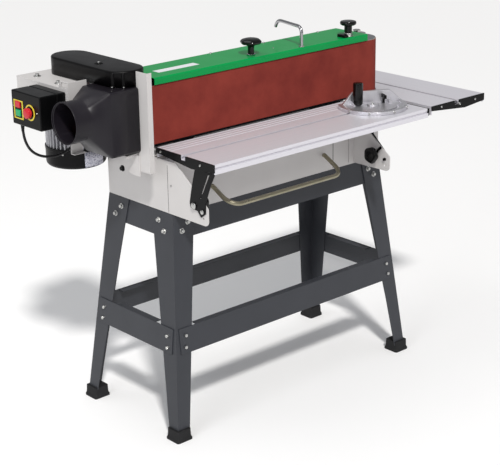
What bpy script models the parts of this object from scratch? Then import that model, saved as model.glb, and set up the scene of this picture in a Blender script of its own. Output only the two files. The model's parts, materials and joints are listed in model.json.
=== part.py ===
"""Edge belt sander on a four-legged sheet-steel stand.

The abrasive belt runs on edge round two vertical rollers above a cabinet. A motor hangs behind the
left roller and drives it through a V-belt. A tilting main table lies along the front of the belt and
an end table lies across its right end. Units are metres, +Z is up, X runs along the belt and -Y is
the operator's side. The origin is on the floor, at the centre of the whole machine's box.
"""

import bisect
import math

import bmesh
import bpy
from mathutils import Matrix, Vector

# Fits
GAP = 0.0003  # between pieces that touch
RUN = 0.0005  # between pieces that slide or turn
SHY = 0.0002  # how far a body stands back from the face of one it is joined to

# Place of the stand's centre in the part's frame
STAND_X = 0.00825
STAND_Y = 0.0180

# Stand
STAND_HEIGHT = 0.600
TOP_HALF_LENGTH = 0.3785
TOP_HALF_DEPTH = 0.135
BOTTOM_HALF_LENGTH = 0.438
BOTTOM_HALF_DEPTH = 0.201
LEG_SHEET = 0.0025
LEG_FRONT_WIDTHS = (0.038, 0.069)  # bottom, top
LEG_SIDE_WIDTHS = (0.036, 0.086)
LEG_BOTTOM = 0.008
RAIL_SHEET = 0.002
RAIL_HEIGHT = 0.068
RAIL_FLANGE = 0.025
STRETCHER_LOW = 0.232
STRETCHER_HIGH = 0.301
STRETCHER_END = 0.009  # from the leg's fold
STRETCHER_FLANGE = 0.020
FOOT_SIZE = 0.045
FOOT_TAPER = 0.003
FOOT_HEIGHT = 0.032
FOOT_WALL = 0.004

# Heights from here on are laid out for a cabinet that stands at this height, and rise with the stand
CABINET_FOOT = 0.600

# Cabinet
CABINET_TOP = 0.740
CABINET_SHEET = 0.0025
WING_REACH = 0.140  # how far the wings stand out in front of the cabinet
WING_RIGHT_X = 0.275
WING_SHEET = 0.003

# Main table and end table, cut from one aluminium profile
TABLE_TOP = 0.770
TABLE_WIDTH = 0.225
TABLE_DEEP = 0.025
TABLE_LEFT = -0.387
TABLE_RIGHT = 0.394
TABLE_BACK = -0.086
PROFILE_WALL = 0.004
PROFILE_TOP = 0.0055
LEDGE_OUT = 0.003
LEDGE_DROP = 0.012
SLOT_FROM_BACK = 0.106  # centre of the T-slot from the edge beside the belt
SLOT_MOUTH = 0.010
SLOT_MOUTH_DEPTH = 0.0045
SLOT_CHAMBER = 0.018
SLOT_CHAMBER_DEPTH = 0.008
GROOVE_WIDTH = 0.0014
GROOVE_DEPTH = 0.0009
GROOVE_PITCH = 0.0153
GROOVE_COUNT = 4
GROOVE_FIRST = 0.0055  # from the edge beside the belt
CAP_THICK = 0.0035
CAP_DEEP = 0.027
CAP_RISE = 0.007  # of its lower edge, at the outer end
CAP_WAIST = 0.38  # where it is deepest, as a share of its width
CAP_THIN = 0.013  # beside the belt
END_TABLE_LEFT = 0.414
END_TABLE_FRONT = -0.304
END_TABLE_LENGTH = 0.494
END_KNOB_RADIUS = 0.0175  # clears the cabinet's side as it turns

TABLE_SLOT = TABLE_BACK - SLOT_FROM_BACK

# Table tilt
PIVOT_Y = -0.258
PIVOT_Z = 0.638
TILT_RANGE = 45.0
CLAMP_Y = 0.033  # clamp stud from the pivot
CLAMP_Z = 0.009
PIVOT_RADIUS = 0.004
STUD_RADIUS = 0.004
ARM_SHEET = 0.003
KNOB_STANDOFF = 0.0055  # a clamp knob's hub from the wing's inner face
KNOB_RADIUS = 0.024
KNOB_HUB = 0.010  # the hub's radius, and its length under the grip
STAR_WAVE = 0.10  # half the depth of the hollows between the lobes, as a share of the radius

# Sanding unit
UNIT_Y = -0.026  # centre line of both rollers
DRIVE_X = -0.436
IDLER_X = 0.399
BELT_WIDTH = 0.150
BELT_LOW = 0.777
BELT_THICK = 0.0012
ROLLER_RADIUS = 0.0535
SHAFT_RADIUS = 0.008
PLATEN_SHEET = 0.003
PLATEN_SET = 0.0001  # behind the line of the rollers' faces
COVER_TOP = 0.947
COVER_SHEET = 0.0015
COVER_LIP = 0.018
COVER_FRONT = -0.0845
COVER_BACK = 0.045
COVER_LEFT = -0.3815
COVER_RIGHT = 0.383

# Drive
MOTOR_X = -0.437
MOTOR_Y = 0.194
MOTOR_RADIUS = 0.078
MOTOR_TOP = 0.924
COWL_RADIUS = 0.081
COWL_BOTTOM = 0.684
COWL_TOP = 0.738
COWL_SHEET = 0.002
FIN_COUNT = 24
FIN_DEPTH = 0.009
DRIVEN_PULLEY_RADIUS = 0.042
MOTOR_PULLEY_RADIUS = 0.032
GROOVE_SINK = 0.0085
V_BELT_WIDTH = 0.0095
V_BELT_MIDDLE = 0.953
CASING_RADIUS = 0.053
CASING_SHEET = 0.003
CASING_CLEAR = 0.0015  # over the hood
CASING_TOP = 0.975
PLATE_TOP = 0.928
PLATE_SHEET = 0.0035
PLATE_FLANGE = 0.003
PLATE_LEFT = -0.562
PLATE_RIGHT = -0.352
PLATE_FRONT = 0.030
PLATE_BACK = 0.262
PLATE_ARM = 0.035
PLATE_LOW = 0.884
EYE_RISE = 0.018

# Dust hood
HOOD_SHEET = 0.003
HOOD_SHAFT_CLEAR = 0.004
HOOD_RIGHT = -0.4385
HOOD_CORNER = -0.522
HOOD_FRONT = -0.092
HOOD_BACK = 0.034
HOOD_CORNER_BACK = 0.027  # at the corner, where it draws in
HOOD_LOW = 0.769
HOOD_HIGH = 0.934
PORT_RADIUS = 0.052
PORT_Z = 0.864
PORT_START = -0.572
PORT_END = -0.619

# Switch box
SWITCH_FACE = -0.640
SWITCH_BACK = -0.5623
SWITCH_BASE = 0.008
SWITCH_RIM = 0.005  # how far the base stands out round the box
SWITCH_Y = (0.047, 0.163)
SWITCH_Z = (0.839, 0.916)
BUTTON_TRAVEL = 0.003
STOP_TRAVEL = 0.005

# Front bar handle
BAR_RADIUS = 0.006
BAR_LEFT = -0.252
BAR_RIGHT = 0.153
BAR_ROOT_Y = -TOP_HALF_DEPTH - GAP - BAR_RADIUS  # the ends turn here, just clear of the cabinet
BAR_ROOT_Z = 0.651
BAR_REACH = 0.083
BAR_DROP = 0.040
BAR_BEND = 0.035

# Mitre gauge
MITRE_X = 0.293
MITRE_TURN = -26.9  # degrees
MITRE_RADIUS = 0.0955
MITRE_PLATE = 0.009
MITRE_FENCE_OFFSET = 0.027
MITRE_FENCE_THICK = 0.010
MITRE_FENCE_HEIGHT = 0.040
MITRE_BAR_LEFT = 0.209
MITRE_BAR_RIGHT = 0.394
GRIP_RADIUS = 0.014
GRIP_TOP = 0.842
GRIP_ALONG = -0.042
GRIP_ACROSS = 0.004

# Switch lead, from the switch box to the motor's terminal box
LEAD_RADIUS = 0.0035
LEAD_STEP = 0.016  # between the points of its line
LEAD_ROUTE = (
    (-0.6240, 0.1500, 0.8380),
    (-0.6242, 0.1500, 0.8260),
    (-0.6241, 0.1496, 0.8130),
    (-0.6228, 0.1480, 0.7960),
    (-0.6192, 0.1452, 0.7800),
    (-0.6128, 0.1416, 0.7655),
    (-0.6030, 0.1370, 0.7540),
    (-0.5890, 0.1318, 0.7452),
    (-0.5720, 0.1266, 0.7402),
    (-0.5540, 0.1218, 0.7390),
    (-0.5360, 0.1170, 0.7420),
    (-0.5200, 0.1130, 0.7490),
    (-0.5065, 0.1095, 0.7590),
    (-0.4970, 0.1072, 0.7715),
    (-0.4920, 0.1060, 0.7850),
)

PARTS = "edge_belt_sander"
CUTTERS = "edge_belt_sander_cutters"

FINISHES = {
    "stand": ((0.060, 0.063, 0.074), 0.45, 0.2),
    "rubber": ((0.012, 0.012, 0.013), 0.75, 0.0),
    "cream": ((0.58, 0.56, 0.53), 0.45, 0.0),
    "green": ((0.0, 0.29, 0.075), 0.40, 0.0),
    "aluminium": ((0.78, 0.78, 0.80), 0.38, 0.9),
    "steel": ((0.42, 0.40, 0.36), 0.35, 1.0),
    "cast": ((0.62, 0.62, 0.62), 0.50, 0.7),
    "black": ((0.014, 0.013, 0.014), 0.40, 0.0),
    "abrasive": ((0.22, 0.045, 0.035), 0.85, 0.0),
    "red": ((0.55, 0.012, 0.018), 0.35, 0.0),
    "button_green": ((0.01, 0.35, 0.12), 0.35, 0.0),
}


# ---------------------------------------------------------------- tools


def clear_scene():
    for obj in list(bpy.data.objects):
        bpy.data.objects.remove(obj, do_unlink=True)


def collection(name):
    made = bpy.data.collections.new(name)
    bpy.context.scene.collection.children.link(made)
    return made


def make_material(name, colour, roughness, metallic):
    material = bpy.data.materials.new(name)
    material.use_nodes = True
    shader = material.node_tree.nodes["Principled BSDF"]
    shader.inputs["Base Color"].default_value = (*colour, 1.0)
    shader.inputs["Roughness"].default_value = roughness
    shader.inputs["Metallic"].default_value = metallic
    return material


def add_mesh(name, bm, finish):
    """A new object from a bmesh. Its material is its own copy of the finish."""
    bmesh.ops.recalc_face_normals(bm, faces=bm.faces)
    mesh = bpy.data.meshes.new(name)
    bm.to_mesh(mesh)
    bm.free()
    mesh.materials.append(make_material(f"{name}_finish", *FINISHES[finish]))
    obj = bpy.data.objects.new(name, mesh)
    bpy.data.collections[PARTS].objects.link(obj)
    return obj


def empty(name, place, parent=None, turn=0.0):
    made = bpy.data.objects.new(name, None)
    bpy.data.collections[PARTS].objects.link(made)
    made.parent = parent
    made.location = place
    made.rotation_euler = (0.0, 0.0, turn)
    return made


def hang(parent, *objects):
    """Parents objects that are drawn in the stand's frame, and keeps them where they are."""
    shift = Vector(parent.location) if parent.parent else Vector()
    for obj in objects:
        obj.parent = parent
        obj.location = Vector(obj.location) - shift


def shade_round(obj, angle=35.0):
    obj.data.shade_smooth()
    obj.data.set_sharp_from_angle(angle=math.radians(angle))
    return obj


def block(name, low, high, finish):
    """A box between two corners."""
    low, high = Vector(low), Vector(high)
    bm = bmesh.new()
    bmesh.ops.create_cube(bm, size=1.0, matrix=Matrix.Diagonal((*(high - low), 1.0)))
    obj = add_mesh(name, bm, finish)
    obj.location = (low + high) / 2
    return obj


def rod(name, start, end, radius, finish, sides=32):
    """A round bar from one point to another."""
    start, end = Vector(start), Vector(end)
    bm = bmesh.new()
    bmesh.ops.create_cone(
        bm, cap_ends=True, segments=sides, radius1=radius, radius2=radius, depth=(end - start).length
    )
    obj = add_mesh(name, bm, finish)
    obj.location = (start + end) / 2
    obj.rotation_euler = (end - start).to_track_quat("Z", "Y").to_euler()
    return shade_round(obj)


def turned(name, profile, place, finish, steps=48, axis="Z"):
    """A solid of revolution. The profile is (radius, height) pairs down the outside, top to bottom."""
    mesh = bpy.data.meshes.new(name)
    points = [(radius, 0.0, height) for radius, height in profile]
    closed = all(radius > 0.0 for radius, _ in profile)
    edges = [(i, i + 1) for i in range(len(points) - 1)]
    if closed:
        edges.append((len(points) - 1, 0))
    mesh.from_pydata(points, edges, [])
    mesh.materials.append(make_material(f"{name}_finish", *FINISHES[finish]))
    obj = bpy.data.objects.new(name, mesh)
    bpy.data.collections[PARTS].objects.link(obj)
    screw = obj.modifiers.new("turn", "SCREW")
    screw.steps = screw.render_steps = steps
    screw.use_merge_vertices = True
    screw.merge_threshold = 0.00001
    obj.location = place
    obj.rotation_euler = {"Z": (0, 0, 0), "X": (0, math.pi / 2, 0), "-X": (0, -math.pi / 2, 0),
                          "-Y": (math.pi / 2, 0, 0)}[axis]
    return obj


def as_mesh(curve, finish):
    """The curve's evaluated shape as a mesh object of the same name and place."""
    name = curve.name
    bpy.context.view_layer.update()
    graph = bpy.context.evaluated_depsgraph_get()
    mesh = bpy.data.meshes.new_from_object(curve.evaluated_get(graph))
    place = curve.matrix_world.copy()
    bpy.data.objects.remove(curve, do_unlink=True)
    bm = bmesh.new()
    bm.from_mesh(mesh)
    bpy.data.meshes.remove(mesh)
    bmesh.ops.remove_doubles(bm, verts=bm.verts, dist=0.00001)
    obj = add_mesh(name, bm, finish)
    obj.matrix_world = place
    return obj


def prism(name, axis, outline, low, high, finish, holes=()):
    """A flat outline with thickness. Its points are (y, z) along X, (x, z) along Y or (x, y) along Z."""
    curve = bpy.data.curves.new(name, "CURVE")
    curve.dimensions = "2D"
    curve.fill_mode = "BOTH"
    curve.extrude = (high - low) / 2
    for ring in (outline, *holes):
        spline = curve.splines.new("POLY")
        spline.points.add(len(ring) - 1)
        for point, (u, v) in zip(spline.points, ring):
            point.co = (u, v, 0.0, 1.0)
        spline.use_cyclic_u = True
    obj = bpy.data.objects.new(name, curve)
    bpy.data.collections[PARTS].objects.link(obj)
    middle = (low + high) / 2
    frames = {
        "X": Matrix(((0, 0, 1, middle), (1, 0, 0, 0), (0, 1, 0, 0), (0, 0, 0, 1))),
        "Y": Matrix(((1, 0, 0, 0), (0, 0, -1, middle), (0, 1, 0, 0), (0, 0, 0, 1))),
        "Z": Matrix.Translation((0, 0, middle)),
    }
    obj.matrix_world = frames[axis]
    return as_mesh(obj, finish)


def loft(name, rings, finish, wrap=False):
    """A skin through rings of equal count: capped at both ends, or wrapped from the last to the first."""
    bm = bmesh.new()
    rows = [[bm.verts.new(point) for point in ring] for ring in rings]
    pairs = list(zip(rows, rows[1:]))
    if wrap:
        pairs.append((rows[-1], rows[0]))
    count = len(rows[0])
    for near, far in pairs:
        for i in range(count):
            j = (i + 1) % count
            bm.faces.new((near[i], near[j], far[j], far[i]))
    if not wrap:
        bm.faces.new(rows[0][::-1])
        bm.faces.new(rows[-1])
    return add_mesh(name, bm, finish)


def wire(name, points, radius, finish, resolution=3):
    """A round wire through points, as a polyline with filled caps."""
    curve = bpy.data.curves.new(name, "CURVE")
    curve.dimensions = "3D"
    curve.bevel_depth = radius
    curve.bevel_resolution = resolution
    curve.use_fill_caps = True
    spline = curve.splines.new("POLY")
    spline.points.add(len(points) - 1)
    for point, place in zip(spline.points, points):
        point.co = (*place, 1.0)
    curve.materials.append(make_material(f"{name}_finish", *FINISHES[finish]))
    obj = bpy.data.objects.new(name, curve)
    bpy.data.collections[PARTS].objects.link(obj)
    return obj


def even_path(route, step, fine=12):
    """Points a step apart along the Catmull-Rom curve through a route."""
    route = [Vector(point) for point in route]
    padded = [2 * route[0] - route[1], *route, 2 * route[-1] - route[-2]]
    path = []
    for a, b, c, d in zip(padded, padded[1:], padded[2:], padded[3:]):
        for k in range(fine):
            t = k / fine
            cubic = (3 * b - a - 3 * c + d) * t**3 + (2 * a - 5 * b + 4 * c - d) * t**2
            path.append(0.5 * (2 * b + (c - a) * t + cubic))
    path.append(route[-1])
    travelled = [0.0]
    for near, far in zip(path, path[1:]):
        travelled.append(travelled[-1] + (far - near).length)
    count = round(travelled[-1] / step)
    marks = [travelled[-1] * k / count for k in range(count)]
    return [path[bisect.bisect_left(travelled, mark)] for mark in marks] + [path[-1]]


def boolean(obj, other, operation):
    other.hide_render = True
    other.display_type = "WIRE"
    bpy.data.collections[PARTS].objects.unlink(other)
    bpy.data.collections[CUTTERS].objects.link(other)
    modifier = obj.modifiers.new(other.name, "BOOLEAN")
    modifier.operation = operation
    modifier.object = other
    modifier.solver = "EXACT"


def cut(obj, *cutters):
    for cutter in cutters:
        boolean(obj, cutter, "DIFFERENCE")
    return obj


def join(obj, *others):
    for other in others:
        boolean(obj, other, "UNION")
    return obj


def arc(centre, radius, start, end, steps):
    """Points on a circle between two angles in degrees, both ends included."""
    return [
        (
            centre[0] + radius * math.cos(math.radians(start + (end - start) * k / steps)),
            centre[1] + radius * math.sin(math.radians(start + (end - start) * k / steps)),
        )
        for k in range(steps + 1)
    ]


def circle(centre, radius, steps=24):
    return arc(centre, radius, 0.0, 360.0 - 360.0 / steps, steps - 1)


def belt_outline(left, left_radius, right, right_radius, steps=24):
    """The outline of a belt round two circles, given by centre and radius."""
    along = Vector((right[0] - left[0], right[1] - left[1]))
    heading = math.degrees(math.atan2(along.y, along.x))
    lean = math.degrees(math.acos((left_radius - right_radius) / along.length))
    near = arc(left, left_radius, heading + lean, heading + 360.0 - lean, steps)
    far = arc(right, right_radius, heading - lean, heading + lean, steps)
    return near + far


def arc_slot(centre, radius, half_width, start, end, steps=8):
    """The outline of a curved slot with round ends."""
    inner = arc(centre, radius - half_width, end, start, steps)
    outer = arc(centre, radius + half_width, start, end, steps)
    first, last = arc(centre, radius, start, end, 1)
    return (
        outer
        + arc(last, half_width, end, end + 180.0, 6)[1:-1]
        + inner
        + arc(first, half_width, start + 180.0, start + 360.0, 6)[1:-1]
    )


# ---------------------------------------------------------------- stand


def half_length(z):
    """Half the stand's length over the legs' outer faces at a height."""
    return BOTTOM_HALF_LENGTH + (TOP_HALF_LENGTH - BOTTOM_HALF_LENGTH) * z / STAND_HEIGHT


def half_depth(z):
    return BOTTOM_HALF_DEPTH + (TOP_HALF_DEPTH - BOTTOM_HALF_DEPTH) * z / STAND_HEIGHT


def leg_section(side_x, side_y, z):
    share = z / STAND_HEIGHT
    across = LEG_FRONT_WIDTHS[0] + (LEG_FRONT_WIDTHS[1] - LEG_FRONT_WIDTHS[0]) * share
    deep = LEG_SIDE_WIDTHS[0] + (LEG_SIDE_WIDTHS[1] - LEG_SIDE_WIDTHS[0]) * share
    x, y, t = half_length(z), half_depth(z), LEG_SHEET
    corners = ((x, y), (x - across, y), (x - across, y - t), (x - t, y - t), (x - t, y - deep), (x, y - deep))
    return [(side_x * u, side_y * v, z) for u, v in corners]


def make_leg(name, side_x, side_y):
    return loft(name, [leg_section(side_x, side_y, z) for z in (LEG_BOTTOM, STAND_HEIGHT)], "stand")


def make_foot(name, side_x, side_y):
    """A rubber shoe with a pad under the leg and a wall round its two outer faces."""

    def square(z, out, size):
        x, y = half_length(z) + out, half_depth(z) + out
        corners = ((x, y), (x - size, y), (x - size, y - size), (x, y - size))
        return [(side_x * u, side_y * v, z) for u, v in corners]

    rim = FOOT_WALL + GAP
    foot = loft(
        name,
        [square(0.0, rim + FOOT_TAPER, FOOT_SIZE + FOOT_TAPER), square(FOOT_HEIGHT, rim, FOOT_SIZE)],
        "rubber",
    )
    above = FOOT_HEIGHT + 0.01
    pocket = loft(
        f"{name}_pocket",
        [square(LEG_BOTTOM - GAP, GAP, 2 * FOOT_SIZE), square(above, GAP, 2 * FOOT_SIZE)],
        "rubber",
    )
    return cut(foot, pocket)


def lean_angle(half, inset, low, high, sheet, flange, side):
    """The (across, z) outline of a leaning web with a flange turned inwards at its top."""
    outer_low, outer_high = half(low) - inset, half(high) - inset
    under = high - sheet
    return [
        (side * u, v)
        for u, v in (
            (outer_low, low),
            (outer_high, high),
            (outer_high - flange, high),
            (outer_high - flange, under),
            (half(under) - inset - sheet, under),
            (outer_low - sheet, low),
        )
    ]


def make_top_rails():
    low, inset = STAND_HEIGHT - RAIL_HEIGHT, LEG_SHEET + GAP
    end_x = TOP_HALF_LENGTH - LEG_SHEET - RUN
    end_y = TOP_HALF_DEPTH - inset - RAIL_FLANGE - RUN
    made = []
    for name, side in (("front", -1), ("back", 1)):
        outline = lean_angle(half_depth, inset, low, STAND_HEIGHT, RAIL_SHEET, RAIL_FLANGE, side)
        made.append(prism(f"top_rail_{name}", "X", outline, -end_x, end_x, "stand"))
    for name, side in (("left", -1), ("right", 1)):
        outline = lean_angle(half_length, inset, low, STAND_HEIGHT, RAIL_SHEET, RAIL_FLANGE, side)
        made.append(prism(f"top_rail_{name}", "Y", outline, -end_y, end_y, "stand"))
    return made


def make_stretchers():
    """Webs on the outside of the legs, each with a flange that passes between them."""
    made = []
    sides = (
        ("front", "X", half_depth, half_length, LEG_FRONT_WIDTHS[1], -1),
        ("back", "X", half_depth, half_length, LEG_FRONT_WIDTHS[1], 1),
        ("left", "Y", half_length, half_depth, LEG_SIDE_WIDTHS[1], -1),
        ("right", "Y", half_length, half_depth, LEG_SIDE_WIDTHS[1], 1),
    )
    for name, axis, across, along, leg_width, side in sides:
        foot, inner = across(STRETCHER_LOW) + GAP, across(STRETCHER_HIGH) + GAP
        web_outline = [
            (side * (foot + RAIL_SHEET), STRETCHER_LOW),
            (side * (inner + RAIL_SHEET), STRETCHER_HIGH),
            (side * inner, STRETCHER_HIGH),
            (side * foot, STRETCHER_LOW),
        ]
        end = along(STRETCHER_HIGH) - STRETCHER_END
        web = prism(f"stretcher_{name}", axis, web_outline, -end, end, "stand")
        reach = along(STRETCHER_HIGH) - leg_width
        root, lip = side * (inner + RAIL_SHEET / 2), side * (inner - STRETCHER_FLANGE)
        top, under = STRETCHER_HIGH - RAIL_SHEET / 2, STRETCHER_HIGH - 1.5 * RAIL_SHEET
        flange_outline = [(root, top), (lip, top), (lip, under), (root, under)]
        flange = prism(f"stretcher_{name}_flange", axis, flange_outline, -reach, reach, "stand")
        made.append(join(web, flange))
    return made


def make_stand():
    made = []
    for end, side_x in (("left", -1), ("right", 1)):
        for face, side_y in (("front", -1), ("back", 1)):
            made.append(make_leg(f"leg_{face}_{end}", side_x, side_y))
            made.append(make_foot(f"foot_{face}_{end}", side_x, side_y))
    return made + make_top_rails() + make_stretchers()


# ---------------------------------------------------------------- cabinet


def wing_front(y_back, low, high):
    """The (y, z) outline of a plate that stands out in front of the cabinet to hold a table arm."""
    nose = -(TOP_HALF_DEPTH + WING_REACH)
    return (
        [(y_back, low), (y_back, high), (-TOP_HALF_DEPTH - 0.018, high)]
        + arc((nose + 0.008, PIVOT_Z + 0.006), 0.008, 140.0, 180.0, 3)
        + arc((nose + 0.014, low + 0.015), 0.014, 180.0, 265.0, 5)
    )


def clamp_openings():
    """The pivot hole, the spare pivot hole below it and the curved slot for the clamp stud."""
    pivot = (PIVOT_Y, PIVOT_Z)
    rest = math.degrees(math.atan2(CLAMP_Z, CLAMP_Y))
    reach = math.hypot(CLAMP_Y, CLAMP_Z)
    return (
        circle(pivot, PIVOT_RADIUS + RUN, 16),
        circle((PIVOT_Y + 0.002, PIVOT_Z - 0.019), 0.003, 12),
        arc_slot(pivot, reach, STUD_RADIUS + RUN, rest, rest + TILT_RANGE),
    )


def make_cabinet():
    x, y, t = TOP_HALF_LENGTH, TOP_HALF_DEPTH - GAP, CABINET_SHEET
    low, high = CABINET_FOOT + GAP, CABINET_TOP
    left = -x + GAP
    side = prism("cabinet", "X", wing_front(y, low, high), left, left + t, "cream", clamp_openings())
    shell_left = left + t / 2
    shell = block(
        "cabinet_shell", (shell_left, -y, low + SHY), (x - GAP, y - SHY, high - SHY), "cream"
    )
    hollow = block(
        "cabinet_hollow", (shell_left + t, -y + t, low - 0.01), (x - GAP - t, y - t, high - t), "cream"
    )
    cut(shell, hollow)
    join(side, shell)
    wing = prism(
        "right_wing", "X",
        wing_front(-TOP_HALF_DEPTH - GAP - 0.0015, low + 0.004, high - 0.004),
        WING_RIGHT_X, WING_RIGHT_X + WING_SHEET, "cream", clamp_openings(),
    )
    foot = block(
        "right_wing_flange",
        (WING_RIGHT_X - 0.018, -TOP_HALF_DEPTH - WING_SHEET, low + 0.006),
        (WING_RIGHT_X + WING_SHEET / 2, -TOP_HALF_DEPTH - GAP + 0.0001, high - 0.006), "cream",
    )
    return [side, join(wing, foot)]


def make_front_bar():
    """A bent rod hinged on the cabinet's front."""
    root_y, front_y = BAR_ROOT_Y, -TOP_HALF_DEPTH - BAR_REACH
    slope = BAR_DROP / BAR_REACH

    def bend(x, turn_in):
        corner_y = front_y + BAR_BEND
        points = []
        for k in range(7):
            angle = math.radians(15.0 * k)
            y = corner_y - BAR_BEND * math.sin(angle)
            inward = x + turn_in * BAR_BEND * (1 - math.cos(angle))
            points.append((inward, y, BAR_ROOT_Z + (y - root_y) * slope))
        return points

    left, right = bend(BAR_LEFT, 1), bend(BAR_RIGHT, -1)
    ends = [[(x, root_y - step, BAR_ROOT_Z) for step in (0.0, 0.006)] for x in (BAR_LEFT, BAR_RIGHT)]
    path = [*ends[0], *left, *right[::-1], *ends[1][::-1]]
    return wire("front_bar_handle", path, BAR_RADIUS, "steel", 3)


# ---------------------------------------------------------------- tables


def profile_outline(front, back, slot, grooves, ledge_front):
    """The cross-section of the table profile between two edges, front < back, round its T-slot's centre."""
    middle, top = slot, TABLE_TOP
    mouth, chamber = SLOT_MOUTH / 2, SLOT_CHAMBER / 2
    lip, floor = top - SLOT_MOUTH_DEPTH, top - SLOT_MOUTH_DEPTH - SLOT_CHAMBER_DEPTH
    web, under, low = floor - PROFILE_WALL, top - PROFILE_TOP, top - TABLE_DEEP
    ledge_low, ledge_high = top - LEDGE_DROP - 0.0015, top - LEDGE_DROP
    points = [(middle - mouth, top), (middle - mouth, lip)]
    points += [(middle - chamber, lip), (middle - chamber, floor)]
    points += [(2 * middle - u, v) for u, v in points[::-1]]
    for k in range(grooves):
        centre = back - GROOVE_FIRST - GROOVE_PITCH * (grooves - 1 - k)
        half = GROOVE_WIDTH / 2
        points += [(centre - half, top), (centre - half, top - GROOVE_DEPTH)]
        points += [(centre + half, top - GROOVE_DEPTH), (centre + half, top)]
    if ledge_front:
        points += [(back, top)]
    else:
        points += [(back - LEDGE_OUT, top), (back - LEDGE_OUT, ledge_high), (back, ledge_low)]
    wall = middle + chamber + PROFILE_WALL
    points += [(back, low), (back - PROFILE_WALL, low), (back - PROFILE_WALL, under)]
    points += [(wall, under), (wall, web)]
    wall = middle - chamber - PROFILE_WALL
    points += [(wall, web), (wall, under), (front + PROFILE_WALL, under)]
    points += [(front + PROFILE_WALL, low), (front, low)]
    if ledge_front:
        points += [(front, ledge_low), (front + LEDGE_OUT, ledge_high), (front + LEDGE_OUT, top)]
    else:
        points += [(front, top)]
    return points


def cap_outline(outer, beside, slot):
    """A tapered end cap, thin beside the belt, with a notch so that the mitre bar can leave the T-slot."""
    way = math.copysign(1.0, beside - outer)
    half = way * (SLOT_CHAMBER / 2 + 0.001)
    notch = TABLE_TOP - SLOT_MOUTH_DEPTH - SLOT_CHAMBER_DEPTH - 0.0005
    low, waist = TABLE_TOP - CAP_DEEP, outer + CAP_WAIST * (beside - outer)
    points = [(outer, low + CAP_RISE), (waist, low), (beside, TABLE_TOP - CAP_THIN), (beside, TABLE_TOP)]
    points += [(slot + half, TABLE_TOP), (slot + half, notch), (slot - half, notch), (slot - half, TABLE_TOP)]
    return points + [(outer, TABLE_TOP)]


def star_outline(radius, lobes=5, steps=30):
    outline = []
    for k in range(steps):
        angle = 2 * math.pi * k / steps
        reach = radius * (1 - STAR_WAVE * (1 - math.cos(lobes * angle)))
        outline.append((reach * math.cos(angle), reach * math.sin(angle)))
    return outline


def star_knob(name, place, axis, radius=KNOB_RADIUS):
    """A star grip with its hub towards the work. It is drawn round its own axis at the origin."""
    grip = prism(name, "Z", star_outline(radius), 0.008, 0.022, "black")
    hub_outline = [(0.0, KNOB_HUB), (KNOB_HUB, KNOB_HUB), (KNOB_HUB, 0.0), (0.0, 0.0)]
    hub = turned(f"{name}_hub", hub_outline, (0, 0, 0), "black", 20)
    join(grip, hub)
    turns = {"X": (0, math.pi / 2, 0), "-X": (0, -math.pi / 2, 0), "-Y": (math.pi / 2, 0, 0)}
    turn = empty(f"{name}_axis", place)
    turn.rotation_euler = turns[axis]
    grip.parent = turn
    hub.parent = turn
    return turn


def make_arm(name, outline, plate_low, head_side, stud_end):
    """A table arm with its pivot pin and clamp stud, whose round heads are on the outer face."""
    plate = prism(name, "X", outline, plate_low, plate_low + ARM_SHEET, "black")
    outer = plate_low if head_side < 0 else plate_low + ARM_SHEET
    middle = plate_low + ARM_SHEET / 2
    clamp = (PIVOT_Y + CLAMP_Y, PIVOT_Z + CLAMP_Z)
    for label, (y, z), radius, head in (
        ("pin", (PIVOT_Y, PIVOT_Z), PIVOT_RADIUS, 0.006),
        ("stud", clamp, STUD_RADIUS, 0.009),
    ):
        bar = rod(f"{name}_{label}", (middle, y, z), (stud_end, y, z), radius, "steel", 16)
        cap_end = outer + head_side * 0.003
        cap = rod(f"{name}_{label}_head", (middle, y, z), (cap_end, y, z), head, "steel", 20)
        join(plate, bar, cap)
    return plate


def left_arm_outline():
    """Two prongs from under the table: the rear one ends at the clamp stud, the front one at the pivot."""
    top = TABLE_TOP - TABLE_DEEP - 2 * GAP
    return [
        (-0.307, top), (-0.289, 0.712), (-0.269, 0.664), (-0.267, 0.634), (-0.251, 0.622),
        (-0.238, 0.636), (-0.212, 0.640), (-0.208, 0.652), (-0.219, 0.700), (-0.232, top),
    ]


def right_arm_outline():
    top = TABLE_TOP - TABLE_DEEP - 2 * GAP
    return [
        (-0.207, top), (-0.209, 0.700), (-0.270, 0.645), (-0.269, 0.630), (-0.251, 0.624), (-0.212, 0.636),
        (-0.160, 0.700), (-0.158, top),
    ]


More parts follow.
